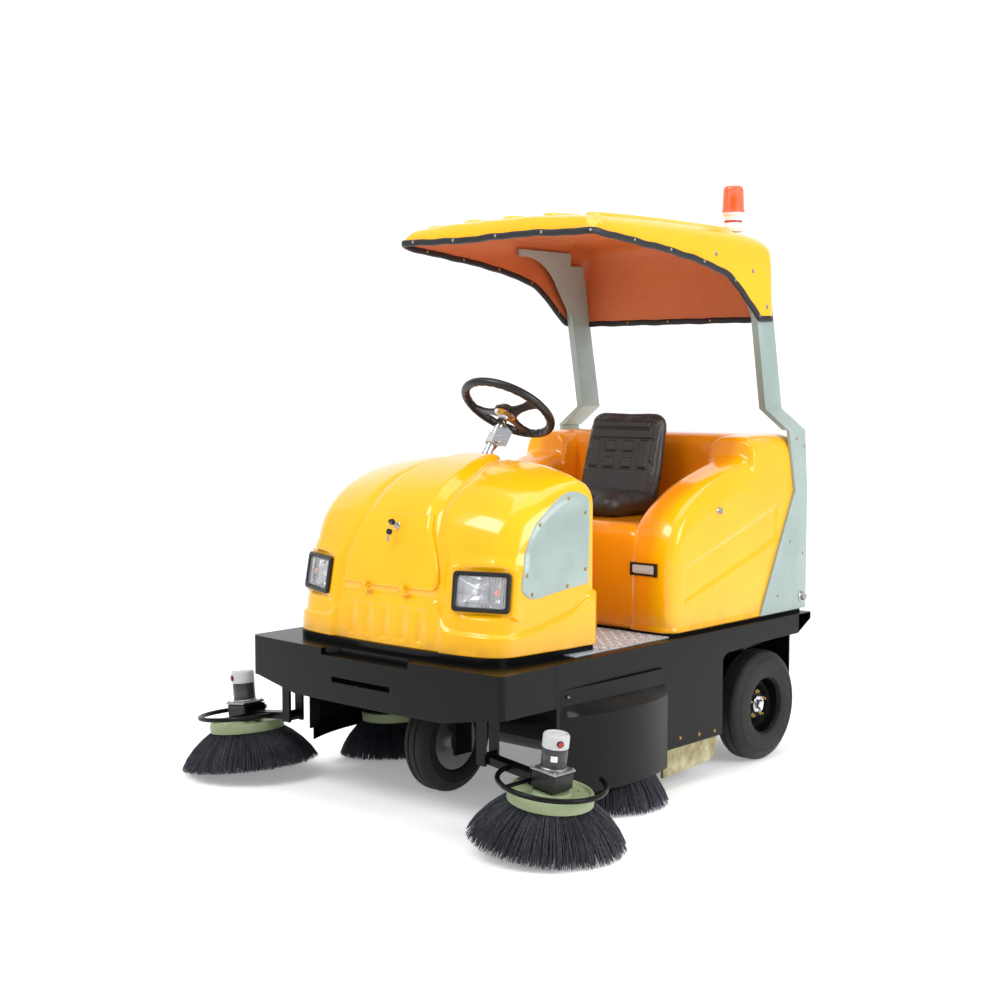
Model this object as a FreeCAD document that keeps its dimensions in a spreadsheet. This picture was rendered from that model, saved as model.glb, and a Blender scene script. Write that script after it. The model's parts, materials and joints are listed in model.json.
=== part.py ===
import FreeCAD, Part
import math
import os

from FreeCAD import Placement, Rotation, Vector

# Ride-on street sweeper. Millimetres, +Z up, front towards -Y, machine's left towards +X.
# Origin: on the ground, under the centre of the footprint.

doc = FreeCAD.newDocument("street_sweeper")
sheet = doc.addObject("Spreadsheet::Sheet", "dims")

SIZES = [
    # chassis and deck
    ("chassis_width", 1174, "over the side panels"),
    ("deck_front", 808, "deck corners ahead of the origin"),
    ("deck_rear", 979, "rear bumper lip behind the origin"),
    ("deck_bow", 22, "how far the front edge bows ahead of its corners"),
    ("deck_top", 523, "height of the deck"),
    ("deck_plate_thk", 4, "deck sheet"),
    ("panel_thk", 4, "side panels, apron and covers"),
    ("bumper_depth", 259, "front bumper, from its corners back to the side panels"),
    ("apron_drop", 175, "front apron, from the deck top to its lowest edge"),
    ("apron_corner_drop", 138, "front apron, from the deck top to its edge at the corners"),
    ("panel_bottom", 145, "lower edge of the side panels"),
    ("rail_width", 50, "frame rails"),
    ("rail_height", 50, "frame rails"),
    ("rail_inset", 117, "side panel to the outer face of the rail"),
    ("rail_bottom", 400, "underside of the rails"),
    ("lug_side", 190, "lashing lugs, centre line to the inner face"),
    ("lug_thk", 12, "lashing lugs"),
    ("lug_bore", 22, "lashing lugs"),
    ("lip_height", 27, "rear bumper lip"),
    ("lip_depth", 90, "overhang of the rear bumper"),
    # hood
    ("hood_inset", 77, "side panel to the hood's side at its rear"),
    ("hood_waist", 36, "how much narrower the hood is ahead of its corners"),
    ("hood_setback", 62, "deck corner line to the hood's front"),
    ("hood_corner", 92, "radius of the hood's front corners in plan"),
    ("hood_rear", -262, "rear edge of the hood at its sides"),
    ("hood_rear_bow", 62, "how far the rear face bows back at the centre"),
    ("hood_seal", 25, "height of the black seal under the hood"),
    ("hood_height", 602, "hood, from its seal to the crown"),
    ("hood_thk", 5, "hood shell"),
    ("hood_crown", 58, "crown of the hood's top across its width"),
    ("hood_shoulder", 60, "radius of the hood's shoulders"),
    ("lid_half_bottom", 222, "access lid, half its lower edge"),
    ("lid_half_top", 138, "access lid, half its upper edge"),
    ("lid_rise", 190, "seal top to the lid's lower edge"),
    ("lid_height", 250, "access lid"),
    ("lid_gap", 3, "gap round the access lid"),
    ("lid_hinge_side", 88, "centre line to each lid hinge"),
    ("lid_barrel_width", 16, "lid hinge barrels"),
    ("lid_pin_dia", 6, "lid hinge pins"),
    # headlamps
    ("lamp_from_side", 184, "hood's side at its front corner to the headlamps' inner edge"),
    ("lamp_width", 198, "headlamp"),
    ("lamp_height", 128, "headlamp"),
    ("lamp_rise", 136, "seal top to the lamp's lower edge"),
    ("lamp_sweep", 20, "degrees the lamps sweep back"),
    ("lamp_depth", 60, "headlamp body"),
    # rear body
    ("body_inset", 37, "side panel to the rear body's side"),
    ("body_front", 115, "front face of the rear body"),
    ("body_seal", 12, "height of the seal under the rear body"),
    ("body_height", 676, "rear body, from its seal to the top"),
    ("body_thk", 6, "rear body shell"),
    ("body_rear_gap", 11, "deck rear edge to the rear body's back"),
    ("box_width", 200, "side boxes either side of the seat"),
    ("box_front_height", 322, "side boxes at their front"),
    ("seat_box_height", 368, "seat base, above the seal"),
    ("rear_wall_front", 700, "front face of the wall behind the seat"),
    # steps and seals
    ("step_front", -400, "front edge of the tread plate"),
    ("step_inset", 47, "side panel to the tread plate"),
    ("step_thk", 3, "tread plate"),
    # canopy and pillars
    ("canopy_half", 474, "half width over the canopy's skirts"),
    ("canopy_taper", 14, "how much narrower each side is at the front lip"),
    ("canopy_front", -236, "front lip"),
    ("canopy_rear", 915, "rear wall at its lower edge"),
    ("canopy_top", 1978, "roof crown"),
    ("canopy_lip", 1903, "front lip, lower edge"),
    ("canopy_skirt", 1640, "lower edge of the skirts at the rear"),
    ("canopy_thk", 5, "canopy shell"),
    ("pillar_width", 28, "pillar, across the machine"),
    ("pillar_depth", 116, "pillar, along the machine"),
    ("pillar_bend", 1302, "height of the bend above the rear panels"),
    ("corner_panel_thk", 12, "grey corner panels"),
    ("corner_return", 80, "corner panels round the back"),
    # beacon
    ("beacon_side", 350, "beacon from the centre line"),
    ("beacon_back", 770, "beacon behind the origin"),
    ("beacon_base_dia", 78, "beacon base"),
    ("beacon_drop", 7, "foot of the beacon below the roof crown"),
    ("beacon_base_height", 73, "beacon base"),
    ("beacon_dia", 88, "beacon lens"),
    ("beacon_height", 99, "beacon lens"),
    # seat, steering column
    ("seat_width", 440, "seat"),
    ("seat_front", 225, "front of the cushion"),
    ("seat_depth", 320, "cushion"),
    ("cushion_height", 85, "cushion"),
    ("backrest_height", 320, "backrest above the cushion"),
    ("backrest_thk", 80, "backrest"),
    ("backrest_lean", 14, "degrees"),
    ("steer_wheel_dia", 356, "steering wheel"),
    ("steer_rim_dia", 28, "steering wheel rim"),
    ("steer_back", -119, "steering wheel centre"),
    ("steer_height", 1314, "steering wheel centre"),
    ("column_lean", 35, "degrees from upright"),
    ("column_dia", 34, "steering column"),
    ("column_length", 250, "steering column up to the hub"),
    # rear wheels
    ("wheel_dia", 410, "rear tyres"),
    ("tyre_width", 110, "rear tyres"),
    ("rim_dia", 206, "rear rims"),
    ("rim_wall", 8, "rim disc and barrel"),
    ("axle_back", 663, "rear axle behind the origin"),
    ("wheel_outset", 10, "tyre's outer face beyond the side panel"),
    ("axle_dia", 36, "stub axles"),
    ("axle_fit", 0.05, "radial running clearance on shafts"),
    ("arch_gap", 28, "wheel arch round the tyre"),
    # front wheel and fork
    ("front_wheel_dia", 356, "front tyre"),
    ("front_tyre_width", 104, "front tyre"),
    ("front_rim_dia", 200, "front rim"),
    ("fork_back", -433, "front axle, ahead of the origin"),
    ("fork_gap", 14, "tyre to fork leg, and tyre to crown"),
    ("fork_leg_thk", 12, "fork legs"),
    ("fork_leg_width", 80, "fork legs"),
    ("kingpin_dia", 50, "kingpin"),
    # side brushes
    ("brush_dia", 496, "front side brushes over the tips"),
    ("brush_out", 113, "side panel to the front brush centre"),
    ("brush_forward", 76, "front brush centre behind the deck corners"),
    ("brush_tilt", 7, "degrees the front brushes tip outwards"),
    ("brush_clear", 2, "lowest bristle tip above the ground"),
    ("bristle_height", 130, "bristle length upright"),
    ("hub_dia", 266, "brush hubs"),
    ("hub_thk", 28, "brush hubs"),
    ("hub_gap", 6, "brush hub to its gearbox"),
    ("motor_dia", 82, "brush motors"),
    ("motor_height", 112, "brush motors"),
    ("gearbox_side", 92, "brush gearboxes"),
    ("gearbox_height", 54, "brush gearboxes"),
    ("guard_radius", 165, "guard ring, to the middle of its tube"),
    ("guard_tube", 16, "guard ring tube"),
    ("guard_arc", 245, "degrees of the guard ring, open behind the brush"),
    ("arm_length", 262, "front brush arms, hinge to brush axis"),
    ("arm_width", 44, "brush arms"),
    ("arm_height", 24, "brush arms"),
    ("arm_pin_dia", 18, "brush arm pins"),
    ("mid_brush_dia", 450, "middle side brushes over the tips"),
    ("mid_brush_inset", 99, "side panel to the middle brush centre"),
    ("mid_brush_back", -189, "middle brush centre"),
    ("mid_tilt", 4, "degrees the middle brushes tip outwards"),
    ("mid_arm_length", 205, "middle brush arms"),
    # main brush and hopper
    ("broom_dia", 296, "main brush over the bristles"),
    ("broom_core_dia", 120, "main brush core"),
    ("broom_width", 750, "main brush"),
    ("broom_back", 234, "main brush axis"),
    ("broom_gap", 18, "main brush to its housing"),
    ("hopper_gap", 10, "hopper to its neighbours"),
    ("hopper_bottom", 112, "underside of the hopper"),
    ("hopper_thk", 4, "hopper walls"),
    ("hopper_face_inset", 34, "side panel to the hopper's rear face"),
    # guards and skirts
    ("guard_bulge", 68, "side guards, how far they stand out"),
    ("guard_front", -530, "side guards, front end"),
    ("guard_rear", 4, "side guards, rear end"),
    ("guard_bottom", 100, "side guards, lower edge"),
    ("guard_ledge", 352, "side guards, edge of the ledge"),
    ("skirt_thk", 10, "dust skirts"),
    ("skirt_drop", 96, "dust skirts below the side panels"),
    ("skirt_front", 30, "dust skirts, front end"),
    ("skirt_rear", 352, "dust skirts, rear end"),
    ("battery_height", 300, "battery pack"),
    ("pedal_width", 70, "foot pedals"),
]

for row, (alias, value, note) in enumerate(SIZES, start=1):
    sheet.set(f"A{row}", note)
    sheet.set(f"B{row}", str(value))
    sheet.setAlias(f"B{row}", alias)
doc.recompute()


class Sizes:
    """The sheet's values as plain numbers."""

    def __getattr__(self, alias):
        return float(getattr(sheet, alias))


s = Sizes()
SIDES = (("left", 1), ("right", -1))
half = s.chassis_width / 2
PARTS = {}


# ---------------------------------------------------------------- helpers

def bound(obj, **formulas):
    """Bind an object's properties to formulas on the sheet's aliases."""
    for prop, formula in formulas.items():
        obj.setExpression(prop.replace("__", "."), formula)
    return obj


def box(name, size, corner):
    """A box from its three sizes and its low corner, all as formulas."""
    obj = doc.addObject("Part::Box", name)
    bound(obj, Length=size[0], Width=size[1], Height=size[2])
    return bound(obj, Placement__Base__x=corner[0], Placement__Base__y=corner[1],
                 Placement__Base__z=corner[2])


def cylinder(name, radius, length, base, axis="z"):
    """A cylinder from its base point, along one of the frame's axes."""
    turn = {"z": Rotation(), "x": Rotation(Vector(0, 1, 0), 90), "y": Rotation(Vector(1, 0, 0), -90)}
    obj = doc.addObject("Part::Cylinder", name)
    obj.Placement = Placement(Vector(), turn[axis])
    bound(obj, Radius=radius, Height=length)
    return bound(obj, Placement__Base__x=base[0], Placement__Base__y=base[1],
                 Placement__Base__z=base[2])


def fuse(name, pieces):
    obj = doc.addObject("Part::MultiFuse", name)
    obj.Shapes = pieces
    return obj


def cut(name, base, tool):
    obj = doc.addObject("Part::Cut", name)
    obj.Base = base
    obj.Tool = tool
    return obj


def feature(name, shape):
    obj = doc.addObject("Part::Feature", name)
    obj.Shape = shape
    return obj


def keep(node, obj):
    """Name a finished sub-part; its label is its file's name."""
    obj.Label = node
    PARTS[node] = obj
    return obj


def wire(points):
    """A closed wire; a point given as (via, end) makes an arc through via."""
    edges = []
    last = start = Vector(*points[0])
    for item in list(points[1:]) + [points[0]]:
        if isinstance(item[0], tuple):
            via, end = Vector(*item[0]), Vector(*item[1])
            edges.append(Part.Arc(last, via, end).toShape())
        else:
            end = Vector(*item)
            if (end - last).Length > 1e-6:
                edges.append(Part.LineSegment(last, end).toShape())
        last = end
    return Part.Wire(edges)


def yz(points, x=0.0):
    """Side-view points as 3-D points on the plane at x."""
    return [tuple((x, *p) for p in item) if isinstance(item[0], tuple) else (x, *item)
            for item in points]


def xz(points, y=0.0):
    return [tuple((p[0], y, p[1]) for p in item) if isinstance(item[0], tuple)
            else (item[0], y, item[1]) for item in points]


def xy(points, z=0.0):
    return [tuple((*p, z) for p in item) if isinstance(item[0], tuple) else (*item, z)
            for item in points]


def prism(outline, direction, inset=0.0):
    """Extrude a closed wire, optionally shrunk inwards by inset."""
    if inset:
        outline = outline.makeOffset2D(-inset)
    return Part.Face(outline).extrude(Vector(*direction))


def mirrored(shape):
    return shape.mirror(Vector(), Vector(1, 0, 0))


def on_side(shape, sign):
    return shape if sign > 0 else mirrored(shape)


def hull_of(outer_parts, inner_parts, drop):
    """A shell: the common of outer_parts less that of inner_parts, open underneath."""
    outer = outer_parts[0]
    for part in outer_parts[1:]:
        outer = outer.common(part)
    inner = inner_parts[0]
    for part in inner_parts[1:]:
        inner = inner.common(part)
    lowered = inner.copy()
    lowered.translate(Vector(0, 0, -drop))
    return outer, outer.cut(inner.fuse(lowered))


# ---------------------------------------------------------------- frame and deck

def make_frame():
    rail_x = "dims.chassis_width / 2 - dims.rail_inset - dims.rail_width"
    rail_len = "dims.deck_front + dims.deck_rear - dims.lip_depth - 60"
    start = "-dims.deck_front + 40"
    pieces = []
    for side, sign in SIDES:
        low = rail_x if sign > 0 else f"-({rail_x}) - dims.rail_width"
        pieces.append(box(f"rail_{side}", ("dims.rail_width", rail_len, "dims.rail_height"),
                          (low, start, "dims.rail_bottom")))
    span = f"2 * ({rail_x})"
    left_end = f"-({rail_x})"
    crossings = {
        "nose": "-dims.deck_front + 40",
        "middle": "dims.body_front - 120",
        "rear": "dims.deck_rear - dims.lip_depth - 80",
    }
    for name, place in crossings.items():
        pieces.append(box(f"cross_{name}", (span, "60", "dims.rail_height"),
                          (left_end, place, "dims.rail_bottom")))
    head = box("head_plate", (span, "200", "16"),
               (left_end, "dims.fork_back - 100", "dims.rail_bottom + dims.rail_height - 16"))
    hole = cylinder("head_bore", "dims.kingpin_dia / 2 + dims.axle_fit", "200",
                    ("0", "dims.fork_back", "dims.rail_bottom - 50"))
    pieces.append(cut("head_plate_bored", head, hole))
    for side, sign in SIDES:
        for end, y in (("front", brush_hinge_y), ("mid", s.mid_brush_back)):
            pieces.append(feature(f"hanger_{end}_{side}", hanger_shape(end, sign)))
    for name, y in (("front", lug_front_y), ("rear", lug_rear_y)):
        for side, sign in SIDES:
            lug = Part.makeBox(s.lug_thk, 50, 50, Vector(s.lug_side, y - 25, s.rail_bottom - 49))
            hole = Part.makeCylinder(s.lug_bore / 2, 3 * s.lug_thk, Vector(s.lug_side - s.lug_thk, y, lug_z),
                                     Vector(1, 0, 0))
            pieces.append(feature(f"lug_{name}_{side}", on_side(lug.cut(hole), sign)))
    keep("chassis_frame", fuse("frame_fused", pieces))


def hanger_shape(end, sign):
    """Bracket that hangs a brush arm's hinge pin under the frame."""
    if end == "front":
        x, y, z = brush_hinge_x, brush_hinge_y, brush_hinge_z
    else:
        x, y, z = mid_hinge_x, s.mid_brush_back, mid_hinge_z
    rail_in = half - s.rail_inset - s.rail_width
    top = s.rail_bottom + 1
    clear = 2.0
    plate = 10.0
    solids = []
    for fore in (-1, 1):
        y0 = y + fore * (s.arm_width / 2 + clear) + (0 if fore > 0 else -plate)
        solids.append(Part.makeBox(36, plate, top - z + 20, Vector(x - 18, y0, z - 20)))
    yoke_len = s.arm_width + 2 * (clear + plate)
    reach_x = min(x, rail_in) - 18
    reach = max(x + 18, rail_in + s.rail_width) - reach_x
    solids.append(Part.makeBox(reach, yoke_len, 12,
                               Vector(reach_x, y - yoke_len / 2, top - 12)))
    pin = Part.makeCylinder(s.arm_pin_dia / 2, yoke_len, Vector(x, y - yoke_len / 2, z), Vector(0, 1, 0))
    shape = solids[0].multiFuse(solids[1:] + [pin])
    return on_side(shape, sign)


def make_deck():
    plate = box("deck_sheet", ("dims.chassis_width - 2 * dims.panel_thk",
                               "dims.deck_front - dims.bumper_depth + dims.deck_rear - dims.lip_depth",
                               "dims.deck_plate_thk"),
                ("-dims.chassis_width / 2 + dims.panel_thk", "-dims.deck_front + dims.bumper_depth",
                 "dims.deck_top - dims.deck_plate_thk"))
    seal_outline = hood_outline(s.deck_top, 4)
    hood_seal = prism(seal_outline, (0, 0, s.hood_seal)).cut(
        prism(hood_outline(s.deck_top, 24), (0, 0, s.hood_seal)))
    step = Part.makeBox(2 * (half - s.step_inset) + 2, s.body_front - s.step_front + 2, s.step_thk + 0.3,
                        Vector(-half + s.step_inset - 1, s.step_front - 1, s.deck_top))
    hood_seal = feature("hood_seal", hood_seal.cut(step))
    body_in = half - s.body_inset - 3
    rear = s.deck_rear - s.body_rear_gap - 3
    outer = Part.makeBox(2 * body_in, rear - s.body_front - 3, s.body_seal,
                         Vector(-body_in, s.body_front + 3, s.deck_top))
    inner = Part.makeBox(2 * body_in - 50, rear - s.body_front - 53, s.body_seal,
                         Vector(-body_in + 25, s.body_front + 28, s.deck_top))
    keep("deck_plate", fuse("deck_fused", [plate, hood_seal, feature("rear_seal", outer.cut(inner))]))
    plate = box("step_plate_sheet", ("dims.chassis_width - 2 * dims.step_inset",
                                     "dims.body_front - dims.step_front", "dims.step_thk"),
                ("-dims.chassis_width / 2 + dims.step_inset", "dims.step_front", "dims.deck_top"))
    keep("step_plate", plate)


def bumper_outline(inset):
    """Plan of the front bumper: straight sides, small corners, bowed front."""
    w = half - inset
    front = -s.deck_front + inset
    corner = 20.0
    back = -s.deck_front + s.bumper_depth
    c = corner * (1 - math.sqrt(0.5))
    return [(-w, back), (-w, front + corner), ((-w + c, front + c), (-w + corner, front)),
            ((0, front - s.deck_bow), (w - corner, front)),
            ((w - c, front + c), (w, front + corner)), (w, back)]


def make_front_bumper():
    low = s.deck_top - s.apron_drop
    high_edge = s.deck_top - s.apron_corner_drop
    t = s.panel_thk
    outer = prism(wire(xy(bumper_outline(0), low)), (0, 0, s.apron_drop))
    inner = prism(wire(xy(bumper_outline(t), low - 1)), (0, 0, s.apron_drop - t + 1))
    inner_back = Part.makeBox(2 * (half - t), 60, s.apron_drop - t + 1,
                              Vector(-half + t, -s.deck_front + s.bumper_depth - 50, low - 1))
    shell = outer.cut(inner.fuse(inner_back))
    deep = s.deck_front + 200
    for sign in (1, -1):
        wedge = wire(xz([(sign * (half + 5), low - 5), (sign * (half + 5), high_edge),
                         (sign * (half - 30), high_edge), (sign * (half - 270), low - 5)], -deep))
        shell = shell.cut(prism(wedge, (0, deep, 0)))
    notch = wire(xy([(-205, -s.deck_front - 60), (-205, -s.deck_front + 2), (-165, -s.deck_front + 26),
                     (165, -s.deck_front + 26), (205, -s.deck_front + 2), (205, -s.deck_front - 60)],
                    s.deck_top - 22))
    shell = shell.cut(prism(notch, (0, 0, 40)))
    tray = wire(xy([(-205 - t, -s.deck_front - 60), (-205 - t, -s.deck_front + 2),
                    (-167, -s.deck_front + 26 + t),
                    (167, -s.deck_front + 26 + t), (205 + t, -s.deck_front + 2),
                    (205 + t, -s.deck_front - 60)], s.deck_top - 22 - t))
    tray = prism(tray, (0, 0, 22)).common(prism(wire(xy(bumper_outline(0), 0)), (0, 0, 2000)))
    shell = shell.fuse(tray.cut(prism(notch, (0, 0, 40))))
    shell = shell.removeSplitter()
    slot = Part.makeBox(276, 80, 18, Vector(-153, -s.deck_front - 60, s.deck_top - 108))
    keep("front_bumper", feature("front_bumper_shell", shell.cut(slot)))


def make_side_panels():
    length = s.deck_front - s.bumper_depth + s.deck_rear - s.lip_depth
    front = -s.deck_front + s.bumper_depth + 1
    height = s.deck_top - s.panel_bottom
    arch_r = s.wheel_dia / 2 + s.arch_gap
    for side, sign in SIDES:
        sheet_part = Part.makeBox(s.panel_thk, length - 1, height,
                                  Vector(half - s.panel_thk, front, s.panel_bottom))
        arch_front = s.axle_back - arch_r - 50
        arch_top = wire(yz([(arch_front, s.panel_bottom - 1),
                            (arch_front, s.deck_top - 108),
                            ((arch_front + 18, s.deck_top - 92), (arch_front + 60, s.deck_top - 86)),
                            ((s.axle_back, s.deck_top - 76), (s.deck_rear + 5, s.deck_top - 76)),
                            (s.deck_rear + 5, s.panel_bottom - 1)], half - 60))
        opening = prism(arch_top, (80, 0, 0))
        behind_guard = Part.makeBox(80, s.guard_rear - s.guard_front - 60,
                                    s.guard_ledge - s.panel_bottom - 20,
                                    Vector(half - 60, s.guard_front + 30, s.panel_bottom - 1))
        shape = sheet_part.cut(opening).cut(behind_guard)
        keep(f"side_panel_{side}", feature(f"side_sheet_{side}", on_side(shape, sign)))


def make_rear_bumper():
    top, rear = s.deck_top, s.deck_rear
    front = rear - s.lip_depth + 1
    t = s.panel_thk
    profile = [(front, top), (rear, top), (rear, top - s.lip_height), (front + 1, top - 73),
               (front, top - 73)]
    outer = prism(wire(yz(profile, -half)), (2 * half, 0, 0))
    inner = prism(wire(yz(profile, -half)).makeOffset2D(-t), (2 * half, 0, 0))
    keep("rear_bumper", feature("rear_lip", outer.cut(inner)))


def make_side_guards():
    """Bulged covers over the middle brushes."""
    t = s.panel_thk
    y0, y1 = s.guard_front, s.guard_rear
    mid = (y0 + y1) / 2
    gap = 0.5

    def outline(bulge, inset, z, rear_out):
        low = half + gap
        return wire(xy([(low, y0 + inset), ((half + bulge - inset, mid),
                                            (half + rear_out - inset, y1 - inset)),
                        (low, y1 - inset)], z))

    def solid(inset):
        down = 5 if inset else 0
        lower = prism(outline(s.guard_bulge, inset, s.guard_bottom - down, 30),
                      (0, 0, s.guard_ledge - s.guard_bottom + down))
        ledge = Part.makeLoft([outline(s.guard_bulge, inset, s.guard_ledge, 30),
                               outline(t + 9, inset, s.guard_ledge + 34 - inset, t + 9)], True, True)
        upper = prism(outline(t + 9, inset, s.guard_ledge + 34 - inset, t + 9), (0, 0, 52))
        return lower.fuse(ledge).fuse(upper)

    shell = solid(0).cut(solid(t)).removeSplitter()
    both = Part.makeCompound([shell, mirrored(shell)])
    keep("side_guards", feature("side_guards_pair", both))


def make_skirts():
    top = s.panel_bottom + 20
    x0 = half - s.panel_thk - 2 - s.skirt_thk
    bottom = s.panel_bottom - s.skirt_drop
    radius = 60.0
    y0, y1 = s.skirt_front, s.skirt_rear
    c = radius * (1 - math.sqrt(0.5))
    outline = wire(yz([(y0, top), (y0, bottom), (y1 - radius, bottom + 12),
                       ((y1 - c, bottom + 12 + c), (y1, bottom + 12 + radius)), (y1, top)], x0))
    left = prism(outline, (s.skirt_thk, 0, 0))
    keep("dust_skirts", feature("dust_skirt_pair", Part.makeCompound([left, mirrored(left)])))


# ---------------------------------------------------------------- hood and lamps

def hood_outline(z, inset=0.0):
    """Plan of the hood: bowed front, round corners, sides that widen to the rear."""
    w_rear = half - s.hood_inset
    w_front = w_rear - s.hood_waist
    front = -s.deck_front + s.hood_setback
    r = s.hood_corner
    c = r * (1 - math.sqrt(0.5))
    outline = wire(xy([
        (-w_rear, s.hood_rear), (-w_front, front + 16 + r), ((-w_front + c, front + 16 + c),
                                                             (-w_front + r, front + 16)),
        ((0, front - 6), (w_front - r, front + 16)), ((w_front - c, front + 16 + c),
                                                      (w_front, front + 16 + r)),
        (w_rear, s.hood_rear), ((0, s.hood_rear + s.hood_rear_bow), (-w_rear, s.hood_rear))], z))
    return outline.makeOffset2D(-inset) if inset else outline


def hood_profile():
    """Side view of the hood: upright lower front, then three arcs up and over to the rear."""
    front = -s.deck_front + s.hood_setback - 12
    rear = s.hood_rear + s.hood_rear_bow + 5
    z0 = s.deck_top + s.hood_seal

    def at(along, up):
        return (front + (rear - front) * along, z0 + s.hood_height * up)

    return wire(yz([at(0, 0), at(0.022, 0.17), (at(0.092, 0.42), at(0.165, 0.655)),
                    (at(0.315, 0.825), at(0.56, 0.95)), (at(0.77, 0.988), at(1, 1)), at(1, 0)]))


def hood_front_view():
    """Front view of the hood: crowned top that rolls over into shoulders wider than the plan."""
    w = half - s.hood_inset
    z0 = s.deck_top + s.hood_seal
    top = z0 + s.hood_height + 0.5
    edge = top - s.hood_crown
    r = s.hood_shoulder
    out = w + r / 2
    return wire(xz([(-out, z0), (-out, edge - 1.6 * r), ((-w + 0.12 * r, edge - 0.36 * r),
                                                         (-w + 1.2 * r, edge)),
                    ((0, top), (w - 1.2 * r, edge)), ((w - 0.12 * r, edge - 0.36 * r), (out, edge - 1.6 * r)),
                    (out, z0)], -s.deck_front - 100))


def hood_solids():
    long_x = 2 * half + 200
    long_y = s.deck_front + 400
    parts = []
    for inset in (0.0, s.hood_thk):
        side = hood_profile()
        side.translate(Vector(-long_x / 2, 0, 0))
        parts.append([
            prism(hood_outline(s.deck_top + s.hood_seal), (0, 0, s.hood_height + 50), inset),
            prism(side, (long_x, 0, 0), inset),
            prism(hood_front_view(), (0, long_y, 0), inset),
        ])
    return hull_of(parts[0], parts[1], s.hood_thk * 3)


def lid_prism(grow):
    z0 = s.deck_top + s.hood_seal + s.lid_rise - grow
    z1 = z0 + s.lid_height + 2 * grow
    bottom = s.lid_half_bottom + grow
    top = s.lid_half_top + grow
    front = -s.deck_front - 100
    return prism(wire(xz([(-bottom, z0), (-top, z1), (top, z1), (bottom, z0)], front)), (0, 360, 0))


def lamp_shape(sign, depth, grow):
    """Headlamp body, swept back round the hood's corner and leaning with it."""
    w, h = s.lamp_width + 2 * grow, s.lamp_height + 2 * grow
    body = Part.makeBox(w, depth, h, Vector(-grow, 0, -grow))
    body.rotate(Vector(), Vector(1, 0, 0), -9)
    body.rotate(Vector(), Vector(0, 0, 1), s.lamp_sweep)
    body.translate(Vector(lamp_inner, lamp_front, s.deck_top + s.hood_seal + s.lamp_rise))
    return on_side(body, sign)


def lid_hinges():
    """Two small outside hinges under the lid: pins and ears on the hood, barrels and tongues on the lid."""
    fixed, moving = [], []
    wide = s.lid_barrel_width / 2
    for sign in (1, -1):
        x = sign * s.lid_hinge_side
        reach = wide + 7
        fixed.append(Part.makeCylinder(s.lid_pin_dia / 2, 2 * reach, Vector(x - reach, lid_pin_y, lid_pin_z),
                                       Vector(1, 0, 0)))
        for end in (x - reach, x + wide + 1):
            fixed.append(Part.makeBox(6, 15, 10, Vector(end, lid_pin_y - 4, lid_pin_z - 7)))
        moving.append(Part.makeCylinder(5.5, 2 * wide, Vector(x - wide, lid_pin_y, lid_pin_z),
                                        Vector(1, 0, 0)))
        moving.append(Part.makeBox(2 * wide, 16, 9, Vector(x - wide, lid_pin_y - 3, lid_pin_z + 3.5)))
    return fixed, moving


def column_place():
    """Placement of the steering axis: wheel centre, leaning with the column."""
    return Placement(Vector(0, s.steer_back, s.steer_height), Rotation(Vector(1, 0, 0), -s.column_lean))


def make_hood():
    solid, shell = hood_solids()
    shell = shell.cut(lid_prism(s.lid_gap))
    lamps = [lamp_shape(sign, s.lamp_depth, 0) for sign in (1, -1)]
    for sign in (1, -1):
        shell = shell.cut(lamp_shape(sign, s.lamp_depth + 40, 0.5))
    hole = Part.makeCylinder(s.column_dia / 2 + 6, s.column_length, Vector(0, 0, -s.column_length))
    hole.Placement = column_place()
    shell = shell.cut(hole)
    lid = hood_solids()[1].common(lid_prism(0))
    fixed, moving = lid_hinges()
    keep("hood", feature("hood_shell", shell.multiFuse(fixed)))
    pin_bore = Part.makeCylinder(s.lid_pin_dia / 2 + s.axle_fit, 2 * half,
                                 Vector(-half, lid_pin_y, lid_pin_z),
                                 Vector(1, 0, 0))
    keep("front_lid", feature("front_lid_shell", lid.multiFuse(moving).cut(pin_bore)))
    keep("headlamps", feature("headlamp_pair", Part.makeCompound(lamps)))
    make_hood_panels()


def make_hood_panels():
    """Flat grey inspection panels on the hood's sides."""
    w = half - s.hood_inset
    z0 = s.deck_top + s.hood_seal
    y1 = s.hood_rear - 32
    outline = [(y1, z0 + 205), (y1, z0 + 470), ((y1 - 14, z0 + 500), (y1 - 46, z0 + 508)),
               ((y1 - 190, z0 + 432), (y1 - 285, z0 + 215)), ((y1 - 284, z0 + 176), (y1 - 250, z0 + 172))]
    slope = math.degrees(math.atan2(s.hood_waist,
                                    s.hood_rear + s.deck_front - s.hood_setback - 16 - s.hood_corner))
    left = prism(wire(yz(outline, 0)), (5, 0, 0))
    left.translate(Vector(w + 0.5, 0, 0))
    left.rotate(Vector(w, s.hood_rear, 0), Vector(0, 0, 1), -slope)
    keep("hood_side_panels", feature("hood_panel_pair", Part.makeCompound([left, mirrored(left)])))


# ---------------------------------------------------------------- rear body

def box_profile():
    """Side view of the side boxes beside the seat."""
    z0 = s.deck_top + s.body_seal
    y0 = s.body_front
    zf = z0 + s.box_front_height
    zt = z0 + s.body_height
    rear = s.deck_rear - s.body_rear_gap
    wall = s.rear_wall_front
    return wire(yz([(y0, z0), (y0 - 18, zf - 6), ((y0 - 12, zf + 12), (y0 + 10, zf + 40)),
                    ((y0 + 190, zf + 175), (wall - 160, zf + 262)),
                    ((wall - 118, zf + 294), (wall - 96, zt - 26)),
                    ((wall - 84, zt - 10), (wall - 60, zt - 5)), (rear, zt), (rear, z0)], 0))


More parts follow.
